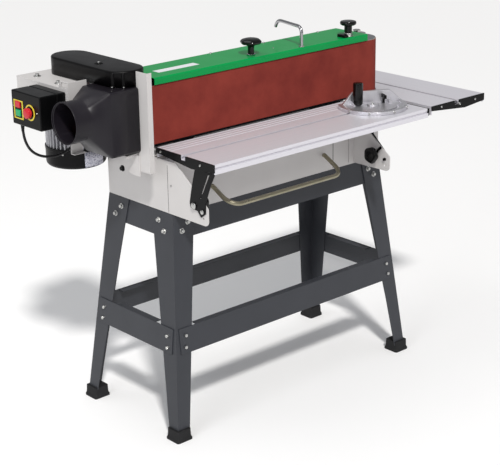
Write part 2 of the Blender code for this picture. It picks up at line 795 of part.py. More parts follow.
def make_main_table(machine):
    front = TABLE_BACK - TABLE_WIDTH
    cap = cap_outline(front, TABLE_BACK, TABLE_SLOT)
    body = empty("main_table_axis", (0.0, PIVOT_Y, PIVOT_Z), machine)
    table = prism(
        "main_table", "X", profile_outline(front, TABLE_BACK, TABLE_SLOT, GROOVE_COUNT, True),
        TABLE_LEFT + CAP_THICK + GAP, TABLE_RIGHT - CAP_THICK - GAP, "aluminium",
    )
    caps = [
        prism("table_cap_left", "X", cap, TABLE_LEFT, TABLE_LEFT + CAP_THICK, "black"),
        prism("table_cap_right", "X", cap, TABLE_RIGHT - CAP_THICK, TABLE_RIGHT, "black"),
    ]
    wing_outer = -TOP_HALF_LENGTH + GAP
    left_low = wing_outer - RUN - ARM_SHEET
    stud_left = wing_outer + CABINET_SHEET + KNOB_STANDOFF
    left = make_arm("table_arm_left", left_arm_outline(), left_low, -1, stud_left)
    slit = prism(
        "arm_slit", "X", [(-0.287, 0.739), (-0.279, 0.737), (-0.246, 0.668), (-0.252, 0.672)],
        left_low - 0.01, left_low + 0.01, "black",
    )
    flange_top = TABLE_TOP - TABLE_DEEP - GAP
    flange = block(
        "table_arm_left_flange", (left_low + SHY, -0.302, flange_top - ARM_SHEET),
        (left_low + 0.025, -0.236, flange_top), "black",
    )
    join(cut(left, slit), flange)
    right_low = WING_RIGHT_X + WING_SHEET + RUN
    stud_right = WING_RIGHT_X - KNOB_STANDOFF
    right = make_arm("table_arm_right", right_arm_outline(), right_low, 1, stud_right)
    right_flange = block(
        "table_arm_right_flange", (right_low + SHY, -0.204, flange_top - ARM_SHEET),
        (right_low + 0.025, -0.162, flange_top), "black",
    )
    join(right, right_flange)
    hang(body, table, *caps, left, right)
    clamp_y, clamp_z = PIVOT_Y + CLAMP_Y, PIVOT_Z + CLAMP_Z
    left_knob = star_knob("table_knob_left", (stud_left + GAP, clamp_y, clamp_z), "X")
    right_knob = star_knob("table_knob_right", (stud_right - GAP, clamp_y, clamp_z), "-X")
    hang(body, left_knob, right_knob)
    make_mitre_gauge(body)


def make_mitre_gauge(table_body):
    slot_y = TABLE_SLOT
    lip, floor = TABLE_TOP - SLOT_MOUTH_DEPTH, TABLE_TOP - SLOT_MOUTH_DEPTH - SLOT_CHAMBER_DEPTH
    base, stem = SLOT_CHAMBER / 2 - RUN, SLOT_MOUTH / 2 - RUN
    outline = [
        (slot_y - base, floor + RUN), (slot_y + base, floor + RUN), (slot_y + base, lip - RUN),
        (slot_y + stem, lip - RUN), (slot_y + stem, TABLE_TOP), (slot_y - stem, TABLE_TOP),
        (slot_y - stem, lip - RUN), (slot_y - base, lip - RUN),
    ]
    bar = prism("mitre_bar", "X", outline, MITRE_BAR_LEFT, MITRE_BAR_RIGHT, "steel")
    hang(table_body, bar)
    pivot = empty("mitre_axis", (MITRE_X, slot_y, 0.0), None, math.radians(MITRE_TURN))
    low = TABLE_TOP + 2 * GAP
    edge = math.degrees(math.asin(MITRE_FENCE_OFFSET / MITRE_RADIUS))
    half_disc = arc((0, 0), MITRE_RADIUS, -180.0 - edge, edge, 40)
    slot = arc_slot((0, 0), MITRE_RADIUS - 0.024, 0.0035, -125.0, -12.0, 12)
    head = prism("mitre_head", "Z", half_disc, low, low + MITRE_PLATE, "cast", (slot,))
    near, far = MITRE_FENCE_OFFSET - 0.001, MITRE_FENCE_OFFSET + MITRE_FENCE_THICK
    top = low + MITRE_FENCE_HEIGHT
    fence = prism(
        "mitre_fence", "Y", [(-0.078, low + SHY), (0.098, low + SHY), (0.060, top), (-0.050, top)],
        near, far, "cast",
    )
    join(head, fence)
    grip_low = low + MITRE_PLATE + GAP
    grip = turned(
        "mitre_handle",
        [(0.0, GRIP_TOP), (GRIP_RADIUS - 0.002, GRIP_TOP), (GRIP_RADIUS, GRIP_TOP - 0.002),
         (GRIP_RADIUS, grip_low + 0.004), (GRIP_RADIUS - 0.003, grip_low), (0.0, grip_low)],
        (GRIP_ALONG, GRIP_ACROSS, 0.0), "black", 24,
    )
    for piece in (head, fence, grip):
        piece.parent = pivot
    hang(table_body, pivot)


def make_end_table(machine):
    body = empty("end_table_axis", (0.0, 0.0, 0.0), machine)
    left, right = END_TABLE_LEFT, END_TABLE_LEFT + TABLE_WIDTH
    slot = left + SLOT_FROM_BACK
    back = END_TABLE_FRONT + END_TABLE_LENGTH
    table = prism(
        "end_table", "Y", profile_outline(left, right, slot, 0, False),
        END_TABLE_FRONT + CAP_THICK + GAP, back - CAP_THICK - GAP, "aluminium",
    )
    outline = cap_outline(right, left, slot)
    caps = [
        prism("end_table_cap_front", "Y", outline, END_TABLE_FRONT, END_TABLE_FRONT + CAP_THICK, "black"),
        prism("end_table_cap_back", "Y", outline, back - CAP_THICK, back, "black"),
    ]
    guide_x = (TOP_HALF_LENGTH + GAP + 0.012, TOP_HALF_LENGTH + GAP + 0.026)
    guide_y = (0.050, 0.090)
    guide_z = (0.606, 0.672)
    top = TABLE_TOP - TABLE_DEEP - GAP
    post = block(
        "end_table_post", (guide_x[0], guide_y[0], guide_z[0] + 0.006),
        (guide_x[1], guide_y[1], top - 0.004), "steel",
    )
    arm = block(
        "end_table_post_arm", (guide_x[0] + SHY, guide_y[0] + SHY, top - 0.009),
        (right - 0.040, guide_y[1] - SHY, top), "steel",
    )
    join(post, arm)
    hang(body, table, *caps, post)
    wall = 0.008
    guide = block(
        "end_table_guide", (TOP_HALF_LENGTH + GAP, guide_y[0] - wall, guide_z[0]),
        (guide_x[1] + wall, guide_y[1] + wall, guide_z[1]), "stand",
    )
    bore = block(
        "end_table_guide_bore", (guide_x[0] - RUN, guide_y[0] - RUN, guide_z[0] - 0.01),
        (guide_x[1] + RUN, guide_y[1] + RUN, guide_z[1] + 0.01), "stand",
    )
    guide = cut(guide, bore)
    guide.parent = machine
    place = ((guide_x[0] + guide_x[1]) / 2, guide_y[0] - wall - GAP, 0.640)
    knob = star_knob("end_table_knob", place, "-Y", END_KNOB_RADIUS)
    knob.parent = machine


# ---------------------------------------------------------------- sanding unit


def make_frame_and_brackets():
    face_y = UNIT_Y - ROLLER_RADIUS + PLATEN_SET
    back_y = face_y + PLATEN_SHEET
    rear = UNIT_Y + 0.031
    outline = [
        (face_y, 0.780), (back_y, 0.780), (back_y, 0.846),
        (rear, 0.846), (rear, 0.768), (rear + 0.003, 0.768),
        (rear + 0.003, 0.852), (back_y, 0.852), (back_y, 0.924), (face_y, 0.924),
    ]
    left, right = DRIVE_X + ROLLER_RADIUS + 0.006, IDLER_X - ROLLER_RADIUS - 0.007
    frame = prism("unit_frame", "X", outline, left, right, "stand")
    y0, y1 = UNIT_Y - 0.034, UNIT_Y + 0.0342
    base = block("unit_base", (left + 0.001, y0, 0.764), (IDLER_X + 0.0135, y1, 0.770), "stand")
    hole = rod(
        "idler_bore", (IDLER_X, UNIT_Y, 0.755), (IDLER_X, UNIT_Y, 0.780), SHAFT_RADIUS + RUN, "stand", 24
    )
    cut(base, hole)
    extras = [base]
    for label, x in (("left", -0.270), ("right", 0.270)):
        extras.append(
            block(
                f"pedestal_{label}", (x - 0.030, y0 + 0.001, CABINET_TOP + GAP),
                (x + 0.030, y1 - 0.001, 0.766), "stand",
            )
        )
    for label, x in (("left", -0.210), ("middle", 0.060)):
        extras.append(
            block(f"riser_{label}", (x - 0.012, UNIT_Y - 0.012, 0.848), (x + 0.012, UNIT_Y + 0.012,
                  COVER_TOP - COVER_SHEET - GAP), "stand")
        )
    bracket_low = 0.9345
    riser_high = (0.328, UNIT_Y + 0.015, bracket_low - GAP)
    extras.append(block("riser_idler", (0.296, UNIT_Y - 0.015, 0.849), riser_high, "stand"))
    join(frame, *extras)
    nose = arc((IDLER_X, UNIT_Y), 0.026, -90.0, 90.0, 12)
    idler_bracket = prism(
        "idler_bracket", "Z", [(0.294, UNIT_Y + 0.026), (0.294, UNIT_Y - 0.026), *nose], bracket_low,
        bracket_low + 0.006, "steel", (circle((IDLER_X, UNIT_Y), SHAFT_RADIUS + RUN, 24),),
    )
    plate_z = (0.7574, 0.7637)
    web_x = HOOD_RIGHT - 0.0018
    shelf_outline = [(web_x - 0.036, -0.082), (-0.310, -0.060), (-0.310, 0.008), (web_x - 0.036, 0.030)]
    shelf = prism(
        "left_end_bracket", "Z", shelf_outline, *plate_z, "cream",
        (circle((DRIVE_X, UNIT_Y), SHAFT_RADIUS + RUN, 24),),
    )
    lobe = [(-0.0855, 0.7583), (-0.0855, 0.704), (-0.052, 0.704)]
    lobe += [*arc((-0.036, 0.729), 0.018, -70.0, 60.0, 6), (-0.020, 0.7583)]
    web = prism("left_end_web", "X", lobe, web_x, web_x + 0.003, "cream")
    join(shelf, web)
    stop_x, stop_back = web_x + 0.003 + GAP, -0.082
    stop = prism(
        "work_stop", "Z",
        [(stop_x, stop_back), (stop_x, stop_back - 0.043), (stop_x + 0.015, stop_back - 0.043),
         (stop_x + 0.015, stop_back - 0.0405), (stop_x + 0.0025, stop_back - 0.0405),
         (stop_x + 0.0025, stop_back)],
        0.718, 0.973, "cream",
    )
    return [frame, idler_bracket, shelf, stop]


def roller_profile(body_low, body_high, shaft_low, shaft_high, flange=0.0):
    r, s = ROLLER_RADIUS, SHAFT_RADIUS
    profile = [(0.0, shaft_high), (s, shaft_high), (s, body_high), (r, body_high)]
    if flange:
        profile += [(r, body_low + 0.0045), (r + flange, body_low + 0.0045), (r + flange, body_low)]
    else:
        profile += [(r, body_low)]
    return profile + [(s, body_low), (s, shaft_low), (0.0, shaft_low)]


def make_rollers(machine):
    high = BELT_LOW + BELT_WIDTH + 0.002
    drive = empty("drive_axis", (DRIVE_X, UNIT_Y, 0.0), machine)
    profile = roller_profile(BELT_LOW - 0.001, high, 0.7590, 0.966)
    roller = turned("drive_roller", profile, (DRIVE_X, UNIT_Y, 0.0), "cast", 64)
    pulley = turned(
        "driven_pulley", pulley_profile(DRIVEN_PULLEY_RADIUS, SHAFT_RADIUS + GAP),
        (DRIVE_X, UNIT_Y, 0.0), "cast", 40,
    )
    hang(drive, roller, pulley)
    idler = empty("idler_axis", (IDLER_X, UNIT_Y, 0.0), machine)
    hang(idler, turned(
        "idler_roller", roller_profile(0.7725, high, 0.7605, COVER_TOP - 0.002, 0.0045),
        (IDLER_X, UNIT_Y, 0.0), "cast", 64,
    ))


def pulley_profile(radius, bore=0.0):
    """A pulley with a groove for the V-belt, or with a bore of zero the groove on a plain stub."""
    half = V_BELT_WIDTH / 2 + RUN
    floor = radius - GROOVE_SINK
    upper, lower = V_BELT_MIDDLE + half + 0.004, V_BELT_MIDDLE - half - 0.004
    outside = [
        (radius, upper), (radius, V_BELT_MIDDLE + half), (floor, V_BELT_MIDDLE + half),
        (floor, V_BELT_MIDDLE - half), (radius, V_BELT_MIDDLE - half), (radius, lower),
    ]
    return [(bore, upper), *outside, (bore, lower)]


def make_belt():
    inner = ROLLER_RADIUS + GAP
    left, right = (DRIVE_X, UNIT_Y), (IDLER_X, UNIT_Y)
    outline = belt_outline(left, inner + BELT_THICK, right, inner + BELT_THICK, 32)
    hole = belt_outline(left, inner, right, inner, 32)
    return prism("sanding_belt", "Z", outline, BELT_LOW, BELT_LOW + BELT_WIDTH, "abrasive", (hole,))


def make_guards():
    front, back, top, t = COVER_FRONT, COVER_BACK, COVER_TOP, COVER_SHEET
    low, round_off = top - COVER_LIP, 0.003
    outline = [
        (front, low), (front, top - round_off), (front + round_off, top), (back - round_off, top),
        (back, top - round_off), (back, low), (back - t, low), (back - t, top - round_off),
        (back - round_off, top - t), (front + round_off, top - t),
        (front + t, top - round_off), (front + t, low),
    ]
    cover = prism("top_guard", "X", outline, COVER_LEFT, COVER_RIGHT, "green")
    guard_y = back - t - GAP - 0.002
    back_guard = block(
        "back_guard", (COVER_LEFT, guard_y, BELT_LOW - 0.004),
        (COVER_RIGHT, guard_y + 0.002, top - 0.004), "cream",
    )
    return [cover, back_guard]


# ---------------------------------------------------------------- drive


def make_motor():
    core, tip = MOTOR_RADIUS - FIN_DEPTH, MOTOR_RADIUS
    outline = []
    for k in range(FIN_COUNT):
        for share, radius in ((0.0, core), (0.55, core), (0.60, tip), (0.90, tip)):
            angle = 2 * math.pi * (k + share) / FIN_COUNT
            outline.append((MOTOR_X + radius * math.cos(angle), MOTOR_Y + radius * math.sin(angle)))
    housing = prism("motor_housing", "Z", outline, COWL_TOP - 0.004, 0.902, "aluminium")
    shield = turned(
        "motor_shield",
        [(0.0, MOTOR_TOP), (MOTOR_RADIUS, MOTOR_TOP), (MOTOR_RADIUS + 0.001, MOTOR_TOP - 0.004),
         (MOTOR_RADIUS + 0.001, 0.899), (0.0, 0.899)],
        (MOTOR_X, MOTOR_Y, 0.0), "aluminium", 48,
    )
    plug = rod("motor_end", (MOTOR_X, MOTOR_Y, 0.722), (MOTOR_X, MOTOR_Y, 0.760), 0.060, "aluminium", 36)
    box_y = MOTOR_Y - MOTOR_RADIUS
    terminal = block(
        "terminal_box", (MOTOR_X - 0.048, box_y - 0.026, 0.794),
        (MOTOR_X + 0.018, box_y + 0.022, 0.852), "black",
    )
    join(housing, shield, plug, terminal)
    t, r = COWL_SHEET, COWL_RADIUS
    cowl = turned(
        "fan_cowl",
        [(r, COWL_TOP), (r, COWL_BOTTOM + 0.010), (r - 0.003, COWL_BOTTOM + 0.003), (r - 0.010, COWL_BOTTOM),
         (0.0, COWL_BOTTOM), (0.0, COWL_BOTTOM + t),
         (r - 0.010, COWL_BOTTOM + t), (r - t - 0.002, COWL_BOTTOM + 0.005),
         (r - t, COWL_BOTTOM + 0.011), (r - t, COWL_TOP), (r, COWL_TOP)],
        (MOTOR_X, MOTOR_Y, 0.0), "black", 56,
    )
    return [housing, cowl]


def make_motor_plate():
    """The plate that carries the motor: its left flange hangs, and rises into an eye at the front corner."""
    low, high, sheet = PLATE_TOP - PLATE_SHEET, PLATE_TOP, PLATE_FLANGE
    left, right, back, front = PLATE_LEFT, PLATE_RIGHT, PLATE_BACK, PLATE_FRONT
    arm, eye_top = left + PLATE_ARM, high + EYE_RISE
    outline = [(left, front + 0.001), (arm, front + 0.001), (arm, 0.096)]
    outline += [(right, 0.096), (right, back), (left, back)]
    plate = prism("motor_plate", "Z", outline, low, high, "cream", (circle((MOTOR_X, MOTOR_Y), 0.013, 24),))
    left_flange = prism(
        "motor_plate_left", "X",
        [(front + SHY, PLATE_LOW), (back - 0.001, PLATE_LOW),
         (back - 0.001, high - 0.001), (front + 0.042, high - 0.001),
         (front + 0.036, eye_top), (front + SHY, eye_top)],
        left + 0.0001, left + 0.0001 + sheet, "cream",
        ([(front + 0.005, high + 0.003), (front + 0.031, high + 0.003), (front + 0.028, eye_top - 0.003),
          (front + 0.005, eye_top - 0.003)],),
    )
    front_flange = prism(
        "motor_plate_front", "Y",
        [(left + SHY, eye_top - SHY), (left + SHY, PLATE_LOW + SHY), (left + 0.030, PLATE_LOW + SHY),
         (left + 0.056, high + 0.004), (left + 0.056, eye_top - SHY)],
        front, front + sheet, "cream",
    )
    right_flange = block(
        "motor_plate_right", (right - sheet, 0.097, PLATE_LOW + 0.004),
        (right - SHY, back - 0.001, high - 0.0005), "cream",
    )
    return join(plate, left_flange, front_flange, right_flange)


def make_drive():
    near, far = (DRIVE_X, UNIT_Y), (MOTOR_X, MOTOR_Y - 0.003)
    outer, inner = CASING_RADIUS, CASING_RADIUS - CASING_SHEET
    low = PLATE_TOP + GAP
    casing = prism("belt_casing", "Z", belt_outline(near, outer, far, outer, 24), low, CASING_TOP, "black")
    hollow = prism(
        "casing_hollow", "Z", belt_outline(near, inner, far, inner, 24), low - 0.01,
        CASING_TOP - CASING_SHEET, "black",
    )
    over_hood = block(
        "casing_over_hood", (DRIVE_X - 2 * outer, UNIT_Y - 2 * outer, low - 0.02),
        (DRIVE_X + 2 * outer, HOOD_BACK + 0.004, HOOD_HIGH + CASING_CLEAR), "black",
    )
    cut(casing, hollow, over_hood)
    motor = (MOTOR_X, MOTOR_Y)
    out = 0.0015  # the V-belt's back stands this far inside the pulleys' rims
    sink = GROOVE_SINK - GAP
    v_belt = prism(
        "v_belt", "Z",
        belt_outline(near, DRIVEN_PULLEY_RADIUS - out, motor, MOTOR_PULLEY_RADIUS - out, 20),
        V_BELT_MIDDLE - V_BELT_WIDTH / 2, V_BELT_MIDDLE + V_BELT_WIDTH / 2, "rubber",
        (belt_outline(near, DRIVEN_PULLEY_RADIUS - sink, motor, MOTOR_PULLEY_RADIUS - sink, 20),),
    )
    return [casing, v_belt]


def make_motor_pulley(machine):
    axis = empty("motor_axis", (MOTOR_X, MOTOR_Y, 0.0), machine)
    profile = pulley_profile(MOTOR_PULLEY_RADIUS, 0.009)
    profile = [(0.0, 0.966), (0.009, 0.966), *profile, (0.009, MOTOR_TOP + RUN), (0.0, MOTOR_TOP + RUN)]
    hang(axis, turned("motor_pulley", profile, (MOTOR_X, MOTOR_Y, 0.0), "steel", 40))


def make_dust_hood():
    """A box round the roller's left half that draws in to a round port."""
    count = 32

    def box_ring(x, back, inset):
        centre = ((HOOD_FRONT + back) / 2, (HOOD_LOW + HOOD_HIGH) / 2)
        half = ((back - HOOD_FRONT) / 2, (HOOD_HIGH - HOOD_LOW) / 2)
        ring = []
        for k in range(count):
            angle = 2 * math.pi * k / count
            u, v = math.cos(angle), math.sin(angle)
            scale = 1.0 / max(abs(u), abs(v))
            y = centre[0] + u * scale * (half[0] - inset)
            z = centre[1] + v * scale * (half[1] - inset)
            ring.append((x, y, z))
        return ring

    def round_ring(x, radius):
        angles = [2 * math.pi * k / count for k in range(count)]
        return [(x, UNIT_Y + radius * math.cos(a), PORT_Z + radius * math.sin(a)) for a in angles]

    t = HOOD_SHEET
    outside = [box_ring(HOOD_RIGHT, HOOD_BACK, 0.0), box_ring(HOOD_CORNER, HOOD_CORNER_BACK, 0.0)]
    outside += [round_ring(PORT_START, PORT_RADIUS), round_ring(PORT_END, PORT_RADIUS)]
    inside = [round_ring(PORT_END, PORT_RADIUS - t), round_ring(PORT_START, PORT_RADIUS - t)]
    inside += [box_ring(HOOD_CORNER + t, HOOD_CORNER_BACK, t), box_ring(HOOD_RIGHT, HOOD_BACK, t)]
    hood = loft("dust_hood", outside + inside, "black", wrap=True)
    notch = rod(
        "hood_notch", (DRIVE_X, UNIT_Y, HOOD_LOW - 0.01), (DRIVE_X, UNIT_Y, HOOD_HIGH + 0.01),
        SHAFT_RADIUS + HOOD_SHAFT_CLEAR, "black", 24,
    )
    return cut(hood, notch)


# ---------------------------------------------------------------- controls


def make_switch_box(machine):
    (y0, y1), (z0, z1) = SWITCH_Y, SWITCH_Z
    box = block("switch_box", (SWITCH_FACE, y0, z0), (SWITCH_BACK - SWITCH_BASE + 0.001, y1, z1), "black")
    base = block(
        "switch_base", (SWITCH_BACK - SWITCH_BASE, y0 - SWITCH_RIM, z0 - SWITCH_RIM),
        (SWITCH_BACK, y1 + SWITCH_RIM, z1 + SWITCH_RIM), "black",
    )
    join(box, base)
    buttons = (("stop_button", 0.888, "red"), ("start_button", 0.866, "button_green"))
    middle_y, half_y, half_z = 0.138, 0.010, 0.0085
    for name, z, finish in buttons:
        pocket = block(
            f"{name}_pocket", (SWITCH_FACE - 0.01, middle_y - half_y - RUN, z - half_z - RUN),
            (SWITCH_FACE + 0.009, middle_y + half_y + RUN, z + half_z + RUN), "black",
        )
        cut(box, pocket)
        axis = empty(f"{name}_axis", (SWITCH_FACE, middle_y, z), machine)
        button = block(
            name, (SWITCH_FACE - 0.004, middle_y - half_y, z - half_z),
            (SWITCH_FACE + 0.009 - BUTTON_TRAVEL - RUN, middle_y + half_y, z + half_z), finish,
        )
        hang(axis, button)
    stop_y, stop_z = 0.086, 0.875
    bore = rod(
        "emergency_bore", (SWITCH_FACE - 0.01, stop_y, stop_z), (SWITCH_FACE + 0.014, stop_y, stop_z),
        0.008 + RUN, "black", 24,
    )
    cut(box, bore)
    axis = empty("emergency_stop_axis", (SWITCH_FACE, stop_y, stop_z), machine)
    crown = STOP_TRAVEL + RUN
    mushroom = turned(
        "emergency_stop",
        [(0.0, crown + 0.010), (0.009, crown + 0.009), (0.015, crown + 0.005), (0.016, crown), (0.008, crown),
         (0.008, -0.014 + crown), (0.0, -0.014 + crown)],
        (SWITCH_FACE, stop_y, stop_z), "red", 32, "-X",
    )
    hang(axis, mushroom)
    return box


def make_knobs(machine):
    base = COVER_TOP + GAP
    place = (-0.033, -0.055, 0.0)
    axis = empty("cover_knob_axis", place, machine)
    knob = turned(
        "cover_knob",
        [(0.0, 0.993), (0.012, 0.992), (0.024, 0.988), (0.030, 0.982), (0.0295, 0.979), (0.020, 0.976),
         (0.009, 0.974), (0.006, 0.968), (0.006, base), (0.0, base)],
        place, "black", 40,
    )
    hang(axis, knob)
    place = (0.326, -0.063, 0.0)
    axis = empty("tracking_knob_axis", place, machine)
    knob = turned(
        "tracking_knob",
        [(0.0, 0.990), (0.020, 0.990), (0.023, 0.987), (0.023, 0.981), (0.019, 0.978), (0.0105, 0.977),
         (0.0105, 0.956), (0.006, 0.955), (0.006, base), (0.0, base)],
        place, "black", 40,
    )
    hang(axis, knob)
    foot = (0.134, -0.074, base)
    axis = empty("tension_lever_axis", foot, machine)
    route = [
        foot, (0.134, -0.074, 0.958), (0.134, -0.074, 0.970), (0.134, -0.074, 0.982), (0.1345, -0.071, 0.992),
        (0.136, -0.063, 0.999), (0.139, -0.050, 1.001), (0.147, -0.014, 1.001), (0.155, 0.022, 1.001),
        (0.158, 0.036, 1.000), (0.160, 0.047, 0.996), (0.162, 0.055, 0.989), (0.163, 0.060, 0.980),
    ]
    lever = wire("tension_lever", route, 0.004, "steel", 3)
    hang(axis, lever)


def loose_cutters():
    return [obj for obj in bpy.data.collections[CUTTERS].objects if obj.parent is None]


def make_sander():
    clear_scene()
    collection(PARTS)
    collection(CUTTERS)
    machine = empty("machine", (STAND_X, STAND_Y, 0.0))
    hang(machine, *make_stand(), *loose_cutters())
    works = empty("works", (0.0, 0.0, STAND_HEIGHT - CABINET_FOOT), machine)
    fixed = make_cabinet() + make_frame_and_brackets() + make_guards() + make_motor() + make_drive()
    fixed += [make_belt(), make_motor_plate(), make_dust_hood(), make_switch_box(works)]
    fixed += [wire("motor_lead", even_path(LEAD_ROUTE, LEAD_STEP), LEAD_RADIUS, "rubber", 2)]
    for obj in fixed:
        obj.parent = works
    bar = empty("front_bar_axis", (0.0, BAR_ROOT_Y, BAR_ROOT_Z), works)
    hang(bar, make_front_bar())
    make_main_table(works)
    make_end_table(works)
    make_rollers(works)
    make_motor_pulley(works)
    make_knobs(works)
    for obj in loose_cutters():
        obj.parent = works


make_sander()
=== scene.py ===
"""The looks of an edge belt sander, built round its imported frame: finishes for every part of the frame,
and finer pieces for the belt, hood, casing, motor, switch, knobs, gauge, bars, lead and fasteners."""

import json
import math

import bmesh
import bpy
from mathutils import Matrix, Vector


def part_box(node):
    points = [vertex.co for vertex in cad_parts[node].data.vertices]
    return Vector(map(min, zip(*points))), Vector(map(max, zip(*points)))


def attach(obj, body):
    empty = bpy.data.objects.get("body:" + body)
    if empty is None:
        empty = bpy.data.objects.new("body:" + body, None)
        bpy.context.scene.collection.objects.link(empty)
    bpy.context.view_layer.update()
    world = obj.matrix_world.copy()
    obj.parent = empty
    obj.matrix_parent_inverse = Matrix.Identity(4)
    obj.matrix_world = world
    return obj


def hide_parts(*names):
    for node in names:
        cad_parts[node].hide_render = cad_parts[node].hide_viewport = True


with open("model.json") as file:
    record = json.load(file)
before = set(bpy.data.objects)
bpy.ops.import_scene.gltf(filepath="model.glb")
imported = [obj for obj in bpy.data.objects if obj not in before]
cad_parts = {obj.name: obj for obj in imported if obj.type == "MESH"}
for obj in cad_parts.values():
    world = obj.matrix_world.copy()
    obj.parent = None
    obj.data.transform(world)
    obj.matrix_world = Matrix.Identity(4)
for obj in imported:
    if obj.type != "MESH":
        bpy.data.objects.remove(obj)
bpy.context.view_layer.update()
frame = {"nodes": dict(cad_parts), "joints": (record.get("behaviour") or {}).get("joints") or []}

MM = 0.001
MERGE = 0.00002
SLOPE = 32.0  # degrees between faces above which an edge stays sharp


# ---------------------------------------------------------------- places


def middle(node):
    low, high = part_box(node)
    return (low + high) / 2


CENTRE = (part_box("foot_front_left")[0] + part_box("foot_back_right")[1]) / 2
CENTRE.z = 0.0


def at(x, y, z):
    """A point given in millimetres from the middle of the stand, on the floor."""
    return CENTRE + Vector((x, y, z)) * MM


def axis_of(joint):
    """The point that a joint turns about."""
    return Vector(next(j for j in frame["joints"] if j["name"] == joint)["pos_m"])


def facing(place, direction, turn=0.0):
    """A frame at a place, with its Z along a direction and turned about it by some degrees."""
    aim = Vector(direction).to_track_quat("Z", "Y").to_matrix().to_4x4()
    return Matrix.Translation(place) @ aim @ Matrix.Rotation(math.radians(turn), 4, "Z")


UP = Matrix.Identity(4)


# ---------------------------------------------------------------- mesh tools


def skin(bm, rings, wrap=True, ends=()):
    """Faces between rings of points, each a list of the same length or a single tip."""
    made = [[bm.verts.new(point) for point in ring] for ring in rings]
    for near, far in zip(made, made[1:]):
        count = max(len(near), len(far))
        for k in range(count if wrap else count - 1):
            corners = [near[k % len(near)], near[(k + 1) % len(near)], far[(k + 1) % len(far)],
                       far[k % len(far)]]
            bm.faces.new(list(dict.fromkeys(corners)))
    for index in ends:
        bm.faces.new(made[index])


def spin(bm, profile, place=UP, steps=48, start=0.0):
    """A profile of (radius, height) pairs in metres turned about the Z of a frame."""
    rings = []
    for radius, height in profile:
        if radius == 0.0:
            rings.append([place @ Vector((0.0, 0.0, height))])
            continue
        angles = [start + 2 * math.pi * k / steps for k in range(steps)]
        rings.append([place @ Vector((radius * math.cos(a), radius * math.sin(a), height)) for a in angles])
    skin(bm, rings)


def lobed(place, steps, radius_at, height):
    """A ring of points round the Z of a frame, whose radius depends on the angle."""
    angles = [2 * math.pi * k / steps for k in range(steps)]
    return [place @ Vector((radius_at(a) * math.cos(a), radius_at(a) * math.sin(a), height)) for a in angles]


def slab(bm, outline, low, high, place=UP, holes=()):
    """A flat outline, with any holes, between two heights along the Z of a frame."""
    curve = bpy.data.curves.new("outline", "CURVE")
    curve.dimensions = "2D"
    curve.fill_mode = "BOTH"
    curve.extrude = (high - low) / 2
    for points in (outline, *holes):
        spline = curve.splines.new("POLY")
        spline.points.add(len(points) - 1)
        for point, (x, y) in zip(spline.points, points):
            point.co = (x, y, 0.0, 1.0)
        spline.use_cyclic_u = True
    guide = bpy.data.objects.new("outline", curve)
    bpy.context.scene.collection.objects.link(guide)
    bpy.context.view_layer.update()
    mesh = bpy.data.meshes.new_from_object(guide.evaluated_get(bpy.context.evaluated_depsgraph_get()))
    mesh.transform(place @ Matrix.Translation((0.0, 0.0, (low + high) / 2)))
    bm.from_mesh(mesh)
    bpy.data.meshes.remove(mesh)
    bpy.data.objects.remove(guide)


def block(bm, low, high, place=UP):
    low, high = Vector(low), Vector(high)
    size = Matrix.Diagonal((*(high - low), 1.0))
    bmesh.ops.create_cube(bm, size=1.0, matrix=place @ Matrix.Translation((low + high) / 2) @ size)


def arc(centre, radius, start, end, steps):
    angles = [math.radians(start + (end - start) * k / steps) for k in range(steps + 1)]
    return [(centre[0] + radius * math.cos(a), centre[1] + radius * math.sin(a)) for a in angles]


def circle(centre, radius, steps=32):
    return arc(centre, radius, 0.0, 360.0 - 360.0 / steps, steps - 1)


def long_loop(first, second, radius, steps):
    """The outline of a belt round two equal circles, the second to the +X or +Y side of the first."""
    way = math.degrees(math.atan2(second[1] - first[1], second[0] - first[0]))
    return arc(first, radius, way + 90, way + 270, steps) + arc(second, radius, way - 90, way + 90, steps)


def curved_slot(centre, radius, half_width, start, end, steps):
    outer = arc(centre, radius + half_width, start, end, steps)
    inner = arc(centre, radius - half_width, end, start, steps)
    return outer + inner


def smooth_path(route, fine=8):
    """Points along a smooth curve through a route's own points."""
    knots = [Vector(p) for p in route]
    knots = [2 * knots[0] - knots[1], *knots, 2 * knots[-1] - knots[-2]]
    points = []
    for a, b, c, d in zip(knots, knots[1:], knots[2:], knots[3:]):
        for k in range(fine):
            t = k / fine
            bend = (2 * a - 5 * b + 4 * c - d) * t**2
            points.append(0.5 * (2 * b + (c - a) * t + bend + (3 * b - 3 * c + d - a) * t**3))
    return points + [knots[-2]]


def tube(name, points, radius, finish, sides=6):
    """A curve with a round section and closed ends."""
    curve = bpy.data.curves.new(name, "CURVE")
    curve.dimensions = "3D"
    curve.use_fill_caps = True
    curve.bevel_resolution = sides
    curve.bevel_depth = radius
    spline = curve.splines.new("POLY")
    spline.points.add(len(points) - 1)
    spline.use_smooth = True
    for knot, point in zip(spline.points, points):
        knot.co = (*point, 1.0)
    curve.materials.append(finish)
    obj = bpy.data.objects.new(name, curve)
    bpy.context.scene.collection.objects.link(obj)
    return obj


def settle(obj, body, stands_for=()):
    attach(obj, body)
    if stands_for:
        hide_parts(*stands_for)
    return obj


